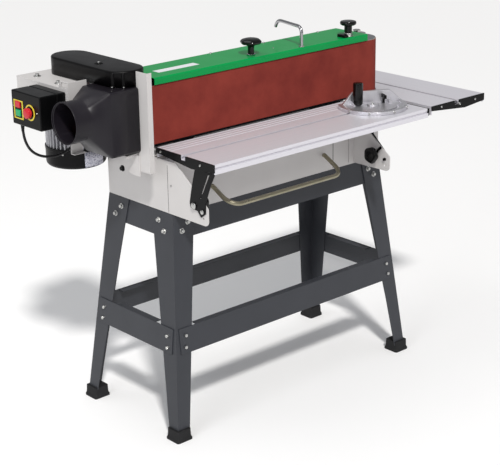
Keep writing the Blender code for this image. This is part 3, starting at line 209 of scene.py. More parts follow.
def piece(name, bm, finish, body, stands_for=(), soft=0.0, wall=0.0, rounds=3):
    """A finished piece from a bmesh. Soft is its edges' rounding, and wall thickens an open surface."""
    bmesh.ops.remove_doubles(bm, verts=bm.verts, dist=MERGE)
    bmesh.ops.recalc_face_normals(bm, faces=bm.faces)
    mesh = bpy.data.meshes.new(name)
    bm.to_mesh(mesh)
    bm.free()
    mesh.materials.append(finish)
    mesh.shade_smooth()
    mesh.set_sharp_from_angle(angle=math.radians(SLOPE))
    obj = bpy.data.objects.new(name, mesh)
    bpy.context.scene.collection.objects.link(obj)
    if wall:
        shell = obj.modifiers.new("wall", "SOLIDIFY")
        shell.thickness = wall
        shell.offset = -1.0
    if soft:
        edge = obj.modifiers.new("soft edges", "BEVEL")
        edge.width = soft
        edge.segments = rounds
        edge.limit_method = "ANGLE"
        edge.angle_limit = math.radians(SLOPE)
        edge.harden_normals = True
    return settle(obj, body, stands_for)


def dress(finish, *nodes):
    """Gives frame parts that keep their own shape their finish."""
    for node in nodes:
        obj = frame["nodes"][node]
        if not obj.material_slots:
            obj.data.materials.append(finish)
        for slot in obj.material_slots:
            slot.material = finish


# ---------------------------------------------------------------- fasteners


def pan_screw(bm, place, out, radius):
    """A domed cross-head screw; radius in millimetres."""
    r = radius * MM
    head = facing(place, out)
    spin(bm, [(r, -0.3 * r), (r, 0.25 * r), (0.86 * r, 0.5 * r), (0.55 * r, 0.66 * r), (0.3 * r, 0.70 * r),
              (0.26 * r, 0.45 * r), (0.0, 0.40 * r)], head, 20)


def hex_bolt(bm, place, out, across, washer):
    """A hexagon head on a flat washer; across its flats and the washer's radius in millimetres."""
    w, r = washer * MM, across * MM / math.sqrt(3)
    head = facing(place, out, across)  # turned by as many degrees, so that no flat lies square
    spin(bm, [(w, -0.0002), (w, 0.0011), (0.93 * w, 0.0015), (0.55 * w, 0.0015)], head, 32)
    spin(bm, [(0.96 * r, 0.0014), (r, 0.0019), (r, 0.0060), (0.90 * r, 0.0068), (0.60 * r, 0.0070),
              (0.0, 0.0070)], head, 6)


def cap_screw(bm, place, out, radius):
    """A socket head with a chamfered rim and a recess."""
    r = radius * MM
    head = facing(place, out)
    spin(bm, [(r, -0.2 * r), (r, 0.82 * r), (0.90 * r, 0.95 * r), (0.56 * r, 0.95 * r),
              (0.50 * r, 0.45 * r), (0.0, 0.40 * r)], head, 24)


# ---------------------------------------------------------------- finishes


def linear(tone):
    """An sRGB hex colour as linear values."""
    parts = [int(tone[k:k + 2], 16) / 255 for k in (1, 3, 5)]
    return (*(p / 12.92 if p <= 0.04045 else ((p + 0.055) / 1.055) ** 2.4 for p in parts), 1.0)


def per(size):
    """The scale that gives a pattern a repeat of this many millimetres."""
    return 1.0 / (size * MM)


def add(tree, kind, inputs=None, **settings):
    """Adds a node. An input takes a value, or the output of another node."""
    made = tree.nodes.new("ShaderNode" + kind)
    for name, value in settings.items():
        setattr(made, name, value)
    for key, value in (inputs or {}).items():
        if isinstance(value, bpy.types.NodeSocket):
            tree.links.new(value, made.inputs[key])
        else:
            made.inputs[key].default_value = value
    return made


def base(name, tone, **sockets):
    """A material whose shader has its even values set, and the coordinates of the piece in metres."""
    material = bpy.data.materials.new(name)
    material.use_nodes = True
    tree = material.node_tree
    shader = tree.nodes["Principled BSDF"]
    shader.inputs["Base Color"].default_value = linear(tone)
    for socket, value in sockets.items():
        shader.inputs[socket.replace("_", " ")].default_value = value
    place = add(tree, "TexCoord").outputs["Object"]
    return material, tree, shader, place


def wear(tree, shader, pattern, tone, shade, smooth, rough):
    """Two tones and two degrees of gloss, mixed by a pattern."""
    blend = add(tree, "Mix", {0: pattern, 6: linear(tone), 7: linear(shade)}, data_type="RGBA")
    tree.links.new(blend.outputs[2], shader.inputs["Base Color"])
    gloss = add(tree, "MapRange", {"Value": pattern, "To Min": smooth, "To Max": rough})
    tree.links.new(gloss.outputs[0], shader.inputs["Roughness"])


def relief(tree, shader, pattern, depth, strength, edge):
    """A fine pattern raised by a depth, on edges rounded by a radius, both in millimetres."""
    rounded = add(tree, "Bevel", {"Radius": edge * MM}, samples=4)
    raised = {"Height": pattern, "Distance": depth * MM, "Strength": strength, "Normal": rounded.outputs[0]}
    tree.links.new(add(tree, "Bump", raised).outputs[0], shader.inputs["Normal"])


def painted(name, tone, shade, roughness, peel, depth, edge=0.8, shine=0.4):
    """Sprayed paint: a slow drift between two tones, orange peel, and edges that the film rounds."""
    material, tree, shader, place = base(name, tone, Specular_IOR_Level=shine)
    drift = add(tree, "TexNoise", {"Vector": place, "Scale": per(90.0), "Detail": 3.0}).outputs[0]
    wear(tree, shader, drift, tone, shade, roughness - 0.05, roughness + 0.05)
    skinned = add(tree, "TexNoise", {"Vector": place, "Scale": per(peel), "Detail": 1.0}).outputs[0]
    relief(tree, shader, skinned, depth, 0.5, edge)
    return material


def moulded(name, tone, worn, roughness, grain, depth, edge=0.6, shine=0.35):
    """Plastic or rubber from a mould: an even grain, drawn coarser than real, and rounded arrises."""
    material, tree, shader, place = base(name, tone, Specular_IOR_Level=shine)
    drift = add(tree, "TexNoise", {"Vector": place, "Scale": per(35.0), "Detail": 4.0}).outputs[0]
    wear(tree, shader, drift, tone, worn, roughness - 0.06, roughness + 0.06)
    sparked = add(tree, "TexNoise", {"Vector": place, "Scale": per(grain), "Detail": 2.0}).outputs[0]
    relief(tree, shader, sparked, depth, 0.6, edge)
    return material


def coloured_plastic(name, tone, worn):
    """Glossy coloured button caps and frames."""
    return moulded(name, tone, worn, 0.30, 3.0, 0.02, 0.4, 0.5)


def drawn_aluminium(name, along):
    """Clear-anodised extrusion: bright, with die lines along it, drawn 1.6 mm apart so that they show."""
    material, tree, shader, place = base(name, "#cfcdd3", Metallic=0.35)
    fine, long = per(1.6), per(260.0)
    stretch = (long, fine, fine) if along == "X" else (fine, long, fine)
    lines = add(tree, "Mapping", {"Vector": place, "Scale": stretch}).outputs[0]
    streaks = add(tree, "TexNoise", {"Vector": lines, "Scale": 1.0, "Detail": 3.0}).outputs[0]
    wear(tree, shader, streaks, "#e2e0e6", "#d4d2d9", 0.30, 0.44)
    relief(tree, shader, streaks, 0.02, 0.4, 0.5)
    return material


def cast_metal(name, tone, dark, roughness, grain, depth, metallic=0.85):
    """Metal with a fine skin, drawn coarser than real so that it shows, and a slightly uneven tone."""
    material, tree, shader, place = base(name, tone, Metallic=metallic)
    drift = add(tree, "TexNoise", {"Vector": place, "Scale": per(18.0), "Detail": 4.0}).outputs[0]
    wear(tree, shader, drift, tone, dark, roughness - 0.08, roughness + 0.08)
    pitted = add(tree, "TexNoise", {"Vector": place, "Scale": per(grain), "Detail": 2.0}).outputs[0]
    relief(tree, shader, pitted, depth, 0.6, 0.6)
    return material


def aluminium_oxide_cloth():
    """Red-brown grit bonded to cloth. The grit is drawn at 1.4 mm, coarser than real, so that it shows."""
    material, tree, shader, place = base("aluminium_oxide_cloth", "#6c241f", Roughness=0.80,
                                         Specular_IOR_Level=0.2)
    blotch = add(tree, "TexNoise", {"Vector": place, "Scale": per(120.0), "Detail": 4.0, "Roughness": 0.6})
    patch = add(tree, "MapRange", {"Value": blotch.outputs[0], "From Min": 0.30, "From Max": 0.62})
    worn = add(tree, "Mix", {0: patch.outputs[0], 6: linear("#6c241f"), 7: linear("#84332a")},
               data_type="RGBA")
    grit = add(tree, "TexVoronoi", {"Vector": place, "Scale": per(1.4)})
    speck = add(tree, "MapRange", {"Value": grit.outputs[0], "From Min": 0.0, "From Max": 0.7,
                                   "To Min": 0.25, "To Max": 0.0})
    toned = add(tree, "Mix", {0: speck.outputs[0], 6: worn.outputs[2], 7: linear("#8c4034")},
                data_type="RGBA")
    tree.links.new(toned.outputs[2], shader.inputs["Base Color"])
    bump = add(tree, "Bump", {"Height": grit.outputs[0], "Distance": 0.15 * MM, "Strength": 0.5})
    tree.links.new(bump.outputs[0], shader.inputs["Normal"])
    return material


def printed_label():
    """A rating plate with rows of grey blocks where its entries would be, and no letters."""
    material, tree, shader, place = base("printed_label", "#dcdce4", Roughness=0.38)
    cells = add(tree, "Mapping", {"Vector": place, "Scale": (per(5.0), per(5.0), per(5.5))})
    bricks = add(tree, "TexNoise", {"Vector": cells.outputs[0], "Scale": 1.6, "Detail": 1.0})
    mask = add(tree, "MapRange", {"Value": bricks.outputs[0], "From Min": 0.52, "From Max": 0.60})
    blend = add(tree, "Mix", {0: mask.outputs[0], 6: linear("#dcdce6"), 7: linear("#8d8da6")},
                data_type="RGBA")
    tree.links.new(blend.outputs[2], shader.inputs["Base Color"])
    return material


# Folded sheet with a dark grey satin powder coat, which has a fine orange peel.
STAND_COAT = painted("powder_coated_steel", "#34363c", "#2f3136", 0.46, 2.4, 0.10)
# Warm grey-white enamel on sheet steel, smooth with a faint peel.
CREAM = painted("enamelled_sheet", "#cac7c6", "#c2bfbd", 0.38, 3.0, 0.05)
# Glossy green enamel with a clear sheen on its folds.
GREEN = painted("green_enamel", "#009248", "#008842", 0.30, 3.5, 0.03, 1.3, 0.16)
# Black paint on laser-cut plate, dull enough to show its edges.
BLACK_PAINT = painted("satin_black_paint", "#070708", "#0c0b0d", 0.36, 2.0, 0.04, 0.8, 0.14)
# Charcoal ABS with a spark-eroded face, which spreads its highlights.
HOOD_ABS = moulded("satin_abs", "#17141a", "#1d1a20", 0.38, 1.1, 0.04, 0.8, 0.28)
# Black ABS with a smoother face, for the belt casing.
CASING_ABS = moulded("gloss_abs", "#070607", "#0a090a", 0.36, 1.4, 0.02, 0.9, 0.13)
# Near-black moulded box and end caps.
BLACK_BOX = moulded("black_thermoplastic", "#060607", "#0a0a0b", 0.34, 1.0, 0.03, 0.8, 0.13)
# Hard glossy black resin, as knobs are pressed from.
KNOB_BLACK = moulded("black_phenolic", "#060606", "#0a0a0a", 0.16, 4.0, 0.01, 0.8, 0.3)
# Matt black rubber shoes with scuffed faces.
RUBBER = moulded("moulded_rubber", "#131314", "#1e1e20", 0.78, 1.6, 0.15)
# The soft black sheath of a lead.
SHEATH = moulded("pvc_sheath", "#0f0e10", "#161517", 0.38, 2.0, 0.03)
RED = coloured_plastic("red_plastic", "#c8202e", "#b81a28")
BUTTON_GREEN = coloured_plastic("green_plastic", "#0fa566", "#0b9459")
YELLOW = coloured_plastic("yellow_plastic", "#dcca3c", "#cdbb33")
TABLE_X = drawn_aluminium("drawn_aluminium_along_belt", "X")
TABLE_Y = drawn_aluminium("drawn_aluminium_across_end", "Y")
# The gauge's head: pale casting, dressed on its faces.
CASTING = cast_metal("sand_cast_aluminium", "#dddce0", "#c6c5ca", 0.36, 1.8, 0.08)
# The motor's ribbed body, a duller grey.
MOTOR_ALLOY = cast_metal("die_cast_aluminium", "#bcbcc0", "#a6a6aa", 0.46, 1.2, 0.10)
# Painted shade: a dark sheet for the slot's floor, standing in for the shade that falls deep in the slot.
PAINTED_SLOT_SHADE = cast_metal("painted_shade_slot_floor", "#3c3a3e", "#2e2c30", 0.6, 2.0, 0.02, 0.3)
# Bolts, washers and small brackets with bright zinc.
ZINC = cast_metal("zinc_plated_steel", "#c9c9c6", "#a9a9a8", 0.28, 2.5, 0.02, 1.0)
# The bright bent lever.
CHROME = cast_metal("chrome_plate", "#b4b4b6", "#9a9a9d", 0.20, 8.0, 0.01, 1.0)
# Bar stock whose yellowish zinc has dulled to olive.
ROD = cast_metal("dulled_zinc_rod", "#a9a38d", "#8e8873", 0.30, 6.0, 0.02, 1.0)
# Rollers and pulleys left as they came off the lathe.
LATHE = cast_metal("turned_steel", "#a7a7a9", "#8e8e91", 0.30, 0.8, 0.03, 1.0)
GRIT = aluminium_oxide_cloth()
# The pale cotton cut edge of the belt.
BACKING = moulded("woven_backing", "#cdb9a4", "#b49f8a", 0.85, 0.7, 0.10)
# Blank white film, a little glossy.
FILM = moulded("label_film", "#e9e9ec", "#dedee2", 0.30, 6.0, 0.01)
PLATE_PRINT = printed_label()


# ---------------------------------------------------------------- camera and lead


EYE = (-2.456696, -2.762603, 1.729758)
YAW_PITCH_ROLL = (41.57898, -19.32662, -0.92513)
LENS = 100.68
SENSOR = 36.0


def make_camera():
    """A long lens at head height, off the motor end and the operator's side."""
    yaw, pitch, roll = (math.radians(a) for a in YAW_PITCH_ROLL)
    forward = Vector((math.sin(yaw) * math.cos(pitch), math.cos(yaw) * math.cos(pitch), math.sin(pitch)))
    across = Vector((math.cos(yaw), -math.sin(yaw), 0.0))
    rise = across.cross(forward)
    right = math.cos(roll) * across + math.sin(roll) * rise
    top = -math.sin(roll) * across + math.cos(roll) * rise
    turn = Matrix((right, top, -forward)).transposed().to_4x4()
    data = bpy.data.cameras.new("camera")
    data.lens = LENS
    data.sensor_width = SENSOR
    camera = bpy.data.objects.new("camera", data)
    camera.matrix_world = Matrix.Translation(EYE) @ turn
    bpy.context.scene.collection.objects.link(camera)
    bpy.context.scene.camera = camera


LEAD_RADIUS = 0.0035
LEAD_ROUTE = ((-0.6240, 0.1500, 0.8380), (-0.6242, 0.1500, 0.8260), (-0.6241, 0.1496, 0.8130),
              (-0.6228, 0.1480, 0.7960), (-0.6192, 0.1452, 0.7800), (-0.6128, 0.1416, 0.7655),
              (-0.6030, 0.1370, 0.7540), (-0.5890, 0.1318, 0.7452), (-0.5720, 0.1266, 0.7402),
              (-0.5540, 0.1218, 0.7390), (-0.5360, 0.1170, 0.7420), (-0.5200, 0.1130, 0.7490),
              (-0.5065, 0.1095, 0.7590), (-0.4970, 0.1072, 0.7715), (-0.4920, 0.1060, 0.7850))


def make_lead():
    """The switch lead: it drops out of the switch box, hangs in one loop and rises to the motor."""
    route = [CENTRE + Vector(p) for p in LEAD_ROUTE]
    points = smooth_path(route, 6)
    lead = settle(tube("switch_lead", points, LEAD_RADIUS, SHEATH, 5), "stand",
                  ("motor_lead",))
    for name, end, inward in (("lead_sleeve_switch", points[0], points[6]),
                              ("lead_sleeve_motor", points[-1], points[-7])):
        bm = bmesh.new()
        way = inward - end
        profile = [(0.0065, 0.0), (0.0065, 0.003), (0.0054, 0.004)]
        for k in range(6):
            low, wide = 0.005 + 0.0034 * k, 0.0054 - 0.0003 * k
            profile += [(wide, low), (wide, low + 0.0020), (wide - 0.0008, low + 0.0024),
                        (wide - 0.0008, low + 0.0032)]
        profile += [(LEAD_RADIUS + 0.0001, 0.0262)]
        spin(bm, profile, facing(end, way), 24)
        piece(name, bm, SHEATH, "stand")


# ---------------------------------------------------------------- stand


def make_feet():
    """Rubber shoes: a splayed skirt on a thicker sole."""
    for end in ("left", "right"):
        for face in ("front", "back"):
            node = f"foot_{face}_{end}"
            low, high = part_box(node)
            centre, half = (low + high) / 2, (high - low) / 2
            bm = bmesh.new()
            rings = []
            for share, height in ((1.0, 0.0), (1.0, 0.20), (0.94, 0.26), (0.90, 0.40), (0.875, 1.0)):
                z = low.z + height * (high.z - low.z)
                corner = 0.006 * share
                ring = []
                for cx, cy, start in ((1, 1, 0), (-1, 1, 90), (-1, -1, 180), (1, -1, 270)):
                    corner_x = centre.x + cx * (half.x * share - corner)
                    corner_y = centre.y + cy * (half.y * share - corner)
                    ring += [(x, y, z) for x, y in arc((corner_x, corner_y), corner, start, start + 90, 5)]
                rings.append([Vector(p) for p in ring])
            skin(bm, rings, ends=(0, -1))
            piece(f"shoe_{face}_{end}", bm, RUBBER, "stand", (node,), 0.0008, rounds=2)


SIDE_BOLTS = ((79, 575), (103, 550), (138, 277), (141, 246))  # distance from the middle, height
FACE_BOLTS = ((334, 573), (355, 553), (380, 280), (384, 249))


def make_stand_bolts():
    """Hexagon bolts with washers where the rails meet the legs."""
    leg_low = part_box("leg_front_left")[0] - CENTRE
    shell_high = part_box("cabinet")[1] - CENTRE
    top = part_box("leg_front_left")[1].z
    splay_x = (-leg_low.x - shell_high.x) / (top - leg_low.z)
    splay_y = (-leg_low.y - shell_high.y) / (top - leg_low.z)
    bm = bmesh.new()
    for end in (-1, 1):
        for face in (-1, 1):
            for along, height in SIDE_BOLTS:
                x = shell_high.x + (top - height * MM) * splay_x
                hex_bolt(bm, CENTRE + Vector((end * x, face * along * MM, height * MM)), (end, 0, splay_x),
                         9.0, 7.5)
            for along, height in FACE_BOLTS:
                y = shell_high.y + (top - height * MM) * splay_y
                hex_bolt(bm, CENTRE + Vector((end * along * MM, face * y, height * MM)), (0, face, splay_y),
                         9.0, 7.5)
    piece("stand_bolts", bm, ZINC, "stand")


# ---------------------------------------------------------------- belt and guards


def make_sanding_belt():
    """The belt in two pieces: its faces, and the pale cut edges of its cloth."""
    low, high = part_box("sanding_belt")
    outer = (high.y - low.y) / 2
    inner = outer - 0.0012
    centre_y = (low.y + high.y) / 2
    first, second = (low.x + outer, centre_y), (high.x - outer, centre_y)
    faces, edges = bmesh.new(), bmesh.new()
    around, inside = long_loop(first, second, outer, 48), long_loop(first, second, inner, 48)

    def loop(outline, z):
        return [Vector((x, y, z)) for x, y in outline]

    skin(faces, [loop(around, low.z), loop(around, high.z)])
    skin(faces, [loop(inside, high.z), loop(inside, low.z)])
    for z in (low.z, high.z):
        skin(edges, [loop(around, z), loop(inside, z)])
    piece("abrasive_belt", faces, GRIT, "stand", ("sanding_belt",))
    piece("abrasive_belt_edges", edges, BACKING, "stand")


COVER_SCREWS = (-95, 97, 306)


def make_cover_details():
    """Screws and a blank strip on the green cover."""
    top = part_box("top_guard")[1].z
    bm = bmesh.new()
    for x in COVER_SCREWS:
        pan_screw(bm, at(x, 38, top / MM), (0, 0, 1), 3.6)
    pan_screw(bm, at(69, -31, top / MM), (0, 0, 1), 2.2)
    piece("cover_screws", bm, ZINC, "stand")
    bm = bmesh.new()
    block(bm, at(-336, -44, top / MM), at(-202, -18, top / MM + 0.25))
    piece("cover_strip", bm, FILM, "stand", soft=0.0001, rounds=1)


def make_idler_end():
    """A washer and nut on the end of the idler's shaft."""
    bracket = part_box("idler_bracket")[1].z
    bm = bmesh.new()
    shaft = axis_of("idler_spin")
    place = Matrix.Translation((shaft.x, shaft.y, 0.0))
    spin(bm, [(0.013, bracket), (0.013, bracket + 0.002), (0.0085, bracket + 0.002)], place, 32)
    spin(bm, [(0.0115, bracket + 0.002), (0.0115, bracket + 0.009), (0.010, bracket + 0.010),
              (0.0, bracket + 0.010)], place, 6)
    piece("idler_nut", bm, ZINC, "stand")


# ---------------------------------------------------------------- dust hood and belt casing


HOOD_COUNT = 96
PORT_HEIGHT, PORT_RADIUS = 0.864, 0.052
MOULDED_WALL = 0.003
HALF_STEP = Matrix.Rotation(math.pi / HOOD_COUNT, 4, "Z")


def hood_ring(x, back, corner, front, low, high):
    """A rounded box section of the hood, as evenly turned points from its middle."""
    centre = Vector((x, (front + back) / 2, (low + high) / 2))
    half_y, half_z = (back - front) / 2, (high - low) / 2
    ring = []
    for k in range(HOOD_COUNT):
        angle = 2 * math.pi * (k + 0.5) / HOOD_COUNT
        u, v = math.cos(angle), math.sin(angle)
        reach = 1.0 / max(abs(u), abs(v))
        y, z = u * reach * half_y, v * reach * half_z
        over_y, over_z = abs(y) - (half_y - corner), abs(z) - (half_z - corner)
        if over_y > 0 and over_z > 0:
            pull = corner / math.hypot(over_y, over_z)
            if pull < 1:
                y = math.copysign(half_y - corner + over_y * pull, y)
                z = math.copysign(half_z - corner + over_z * pull, z)
        ring.append(centre + Vector((0.0, y, z)))
    return ring


def make_dust_hood():
    """The hood round the drive roller: a box that draws in through flat facets to a round spigot."""
    low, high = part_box("dust_hood")
    port_y = at(0, -26, 0).y
    corner_x, neck_x, rim_x = at(-522, 0, 0).x, at(-572, 0, 0).x, low.x
    back_left = at(0, 27, 0).y
    sections = []
    for x, back, corner in ((high.x, high.y, 0.007), (corner_x + 0.003, back_left + 0.001, 0.006),
                            (corner_x, back_left, 0.006), (corner_x - 0.002, back_left - 0.0008, 0.007)):
        sections.append(hood_ring(x, back, corner, low.y, low.z, high.z))

    def spigot(x, radius):
        middle_line = Matrix(((0, 0, 1, x), (1, 0, 0, port_y), (0, 1, 0, PORT_HEIGHT), (0, 0, 0, 1)))
        return lobed(middle_line @ HALF_STEP, HOOD_COUNT, lambda angle: radius, 0.0)

    neck = spigot(neck_x, PORT_RADIUS)
    shoulder = sections[-1]
    for share in (0.25, 0.5, 0.75, 0.93):
        sections.append([a.lerp(b, share) for a, b in zip(shoulder, neck)])
    sections.append(spigot(neck_x - 0.002, PORT_RADIUS))
    for x, radius in ((rim_x + 0.006, PORT_RADIUS), (rim_x + 0.005, 0.0533), (rim_x + 0.001, 0.0533),
                      (rim_x, 0.0527)):
        sections.append(spigot(x, radius))
    bm = bmesh.new()
    skin(bm, sections)
    piece("dust_hood_shell", bm, HOOD_ABS, "stand", ("dust_hood",), wall=MOULDED_WALL)


CASING_BOSSES = (207.0, 236.0)  # degrees round its front end
CASING_SCREW = (-452, 50)


def make_belt_casing():
    """The casing over both pulleys: a long loop with a rolled top edge and two bosses at its front end."""
    low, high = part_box("belt_casing")
    outer = (high.x - low.x) / 2
    near = (low.x + outer, low.y + outer)
    far = (low.x + outer, high.y - outer)
    hood_back, hood_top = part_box("dust_hood")[1].y + 0.004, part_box("dust_hood")[1].z + 0.0015
    roll = 0.005

    def loop(inset, z):
        outline = long_loop(near, far, outer - inset, 40)
        return [Vector((x, y, max(z, hood_top) if y < hood_back else z)) for x, y in outline]

    def round_end(angle, beyond, z):
        turn, reach = math.radians(angle), outer + beyond
        return Vector((near[0] + reach * math.cos(turn), near[1] + reach * math.sin(turn), z))

    rings = [loop(0.0, low.z), loop(0.0, high.z - roll)]
    for k in range(1, 6):
        angle = math.pi / 2 * k / 5
        rings.append(loop(roll * (1 - math.cos(angle)), high.z - roll + roll * math.sin(angle)))
    bm = bmesh.new()
    skin(bm, rings, ends=(-1,))
    piece("belt_casing_shell", bm, CASING_ABS, "stand", ("belt_casing",), wall=MOULDED_WALL)
    bm = bmesh.new()
    for angle in CASING_BOSSES:
        boss = Matrix.Translation(round_end(angle, -0.001, 0.0))
        spin(bm, [(0.0, high.z - 0.004), (0.003, high.z - 0.0045), (0.0045, high.z - 0.007),
                  (0.0045, hood_top + 0.003), (0.0056, hood_top + 0.002), (0.0056, hood_top),
                  (0.0, hood_top)], boss, 24)
    piece("casing_bosses", bm, CASING_ABS, "stand")
    bm = bmesh.new()
    recess = Matrix.Translation(at(*CASING_SCREW, 0))
    spin(bm, [(0.0105, high.z), (0.0105, high.z + 0.0012), (0.0095, high.z + 0.0016),
              (0.0078, high.z + 0.0014), (0.0070, high.z + 0.0002)], recess, 32)
    piece("casing_screw_well", bm, CASING_ABS, "stand")
    bm = bmesh.new()
    cap_screw(bm, at(*CASING_SCREW, high.z / MM), (0, 0, 1), 4.5)
    for angle in CASING_BOSSES:
        pan_screw(bm, round_end(angle, 0.004, hood_top + 0.001), (0, 0, 1), 2.6)
    piece("casing_screws", bm, ZINC, "stand")


# ---------------------------------------------------------------- motor and switch


MOTOR_FINS = 40
MOTOR_RADIUS = 0.078
TERMINAL_LOW, TERMINAL_HIGH = 0.794, 0.852  # heights of the terminal box
PLATE_START, PLATE_SPAN = -109.0, 43.0  # degrees round the cowl


def make_motor():
    """A ribbed body with an end shield, a fan cowl with a slotted end, and a terminal box."""
    low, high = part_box("motor_housing")
    centre = axis_of("motor_spin")
    frame_z = Matrix.Translation((centre.x, centre.y, 0.0))
    cowl_low, cowl_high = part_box("fan_cowl")
    bm = bmesh.new()
    outline = []
    core = MOTOR_RADIUS - 0.010
    for k in range(MOTOR_FINS):
        for share, radius in ((0.0, core), (0.50, core), (0.60, MOTOR_RADIUS - 0.001), (0.66, MOTOR_RADIUS),
                              (0.84, MOTOR_RADIUS), (0.90, MOTOR_RADIUS - 0.001)):
            angle = 2 * math.pi * (k + share) / MOTOR_FINS
            outline.append((radius * math.cos(angle), radius * math.sin(angle)))
    slab(bm, outline, cowl_high.z - 0.003, high.z - 0.020, frame_z)
    spin(bm, [(0.0, high.z), (0.060, high.z), (0.074, high.z - 0.002), (0.079, high.z - 0.006),
              (0.079, high.z - 0.024), (0.0, high.z - 0.024)], frame_z, 72)
    spin(bm, [(0.0, 0.762), (0.060, 0.762), (0.060, 0.722), (0.0, 0.722)], frame_z, 48)
    piece("motor_body", bm, MOTOR_ALLOY, "stand", ("motor_housing",))
    box_front = low.y
    bm = bmesh.new()
    block(bm, (centre.x - 0.048, box_front + 0.006, TERMINAL_LOW),
          (centre.x + 0.018, centre.y - 0.056, TERMINAL_HIGH))
    block(bm, (centre.x - 0.050, box_front, TERMINAL_LOW - 0.002),
          (centre.x + 0.020, box_front + 0.007, TERMINAL_HIGH + 0.002))
    piece("terminal_box", bm, BLACK_BOX, "stand", soft=0.0016)
    bm = bmesh.new()
    for x in (-0.044, 0.014):
        for z in (TERMINAL_LOW + 0.004, TERMINAL_HIGH - 0.004):
            pan_screw(bm, (centre.x + x, box_front, z), (0, -1, 0), 2.6)
    piece("terminal_box_screws", bm, ZINC, "stand")
    make_fan_cowl(frame_z, cowl_low.z, cowl_high.z, (cowl_high.x - cowl_low.x) / 2)


def make_fan_cowl(frame_z, bottom, top, radius):
    """A pressed cowl with a rolled rim, three slotted rings in its end, and the blank rating plate."""
    bm = bmesh.new()
    profile = [(radius - 0.002, top), (radius - 0.0006, top), (radius, top - 0.0006), (radius, top - 0.007),
               (radius - 0.001, top - 0.008), (radius - 0.001, bottom + 0.012)]
    for k in range(1, 7):
        angle = math.pi / 2 * k / 6
        profile.append((radius - 0.013 + 0.012 * math.cos(angle), bottom + 0.012 - 0.012 * math.sin(angle)))
    profile += [(0.064, bottom), (0.064, bottom + 0.002), (radius - 0.014, bottom + 0.002),
                (radius - 0.003, bottom + 0.013), (radius - 0.003, top - 0.001), (radius - 0.002, top)]
    spin(bm, profile, frame_z, 80)
    for inner, outer in ((0.054, 0.058), (0.043, 0.047), (0.032, 0.036)):
        ring = [(outer, bottom + 0.002), (outer, bottom), (inner, bottom), (inner, bottom + 0.002),
                (outer, bottom + 0.002)]
        spin(bm, ring, frame_z, 64)
    spin(bm, [(0.0, bottom), (0.025, bottom), (0.025, bottom + 0.002), (0.0, bottom + 0.002)], frame_z, 64)
    for k in range(8):
        spoke = frame_z @ Matrix.Rotation(math.pi / 4 * k, 4, "Z")
        block(bm, (0.020, -0.003, bottom + 0.0003), (0.066, 0.003, bottom + 0.0022), spoke)
    piece("fan_cowl_shell", bm, BLACK_PAINT, "stand", ("fan_cowl",))
    bm = bmesh.new()
    for angle in (30, 120, 210, 300):
        out = Vector((math.cos(math.radians(angle)), math.sin(math.radians(angle)), 0.0))
        pan_screw(bm, frame_z @ (out * (radius - 0.0002)) + Vector((0, 0, top - 0.012)), out, 3.0)
    piece("fan_cowl_screws", bm, ZINC, "stand")
    bm = bmesh.new()
    curve = arc((0.0, 0.0), radius + 0.0003, PLATE_START, PLATE_START + PLATE_SPAN, 12)
    skin(bm, [[frame_z @ Vector((x, y, z)) for x, y in curve] for z in (bottom + 0.006, bottom + 0.047)],
         wrap=False)
    piece("rating_plate", bm, PLATE_PRINT, "stand", wall=0.0004)


MOTOR_PLATE_TOP = 928.0  # the sunk part of the plate, in millimetres above the floor


def make_motor_plate_bolts():
    """Washered bolts that hold the motor under its plate, and the lead's clip."""
    bm = bmesh.new()
    for x, y in ((-529, 215), (-537, 109), (-372, 215)):
        hex_bolt(bm, at(x, y, MOTOR_PLATE_TOP), (0, 0, 1), 10.0, 10.0)
    piece("motor_plate_bolts", bm, ZINC, "stand")
    bm = bmesh.new()
    block(bm, at(-516, 100, 742), at(-479, 102, 766))
    block(bm, at(-516, 86, 740), at(-479, 102, 742))
    piece("lead_clip_bracket", bm, CREAM, "stand", soft=0.0006)


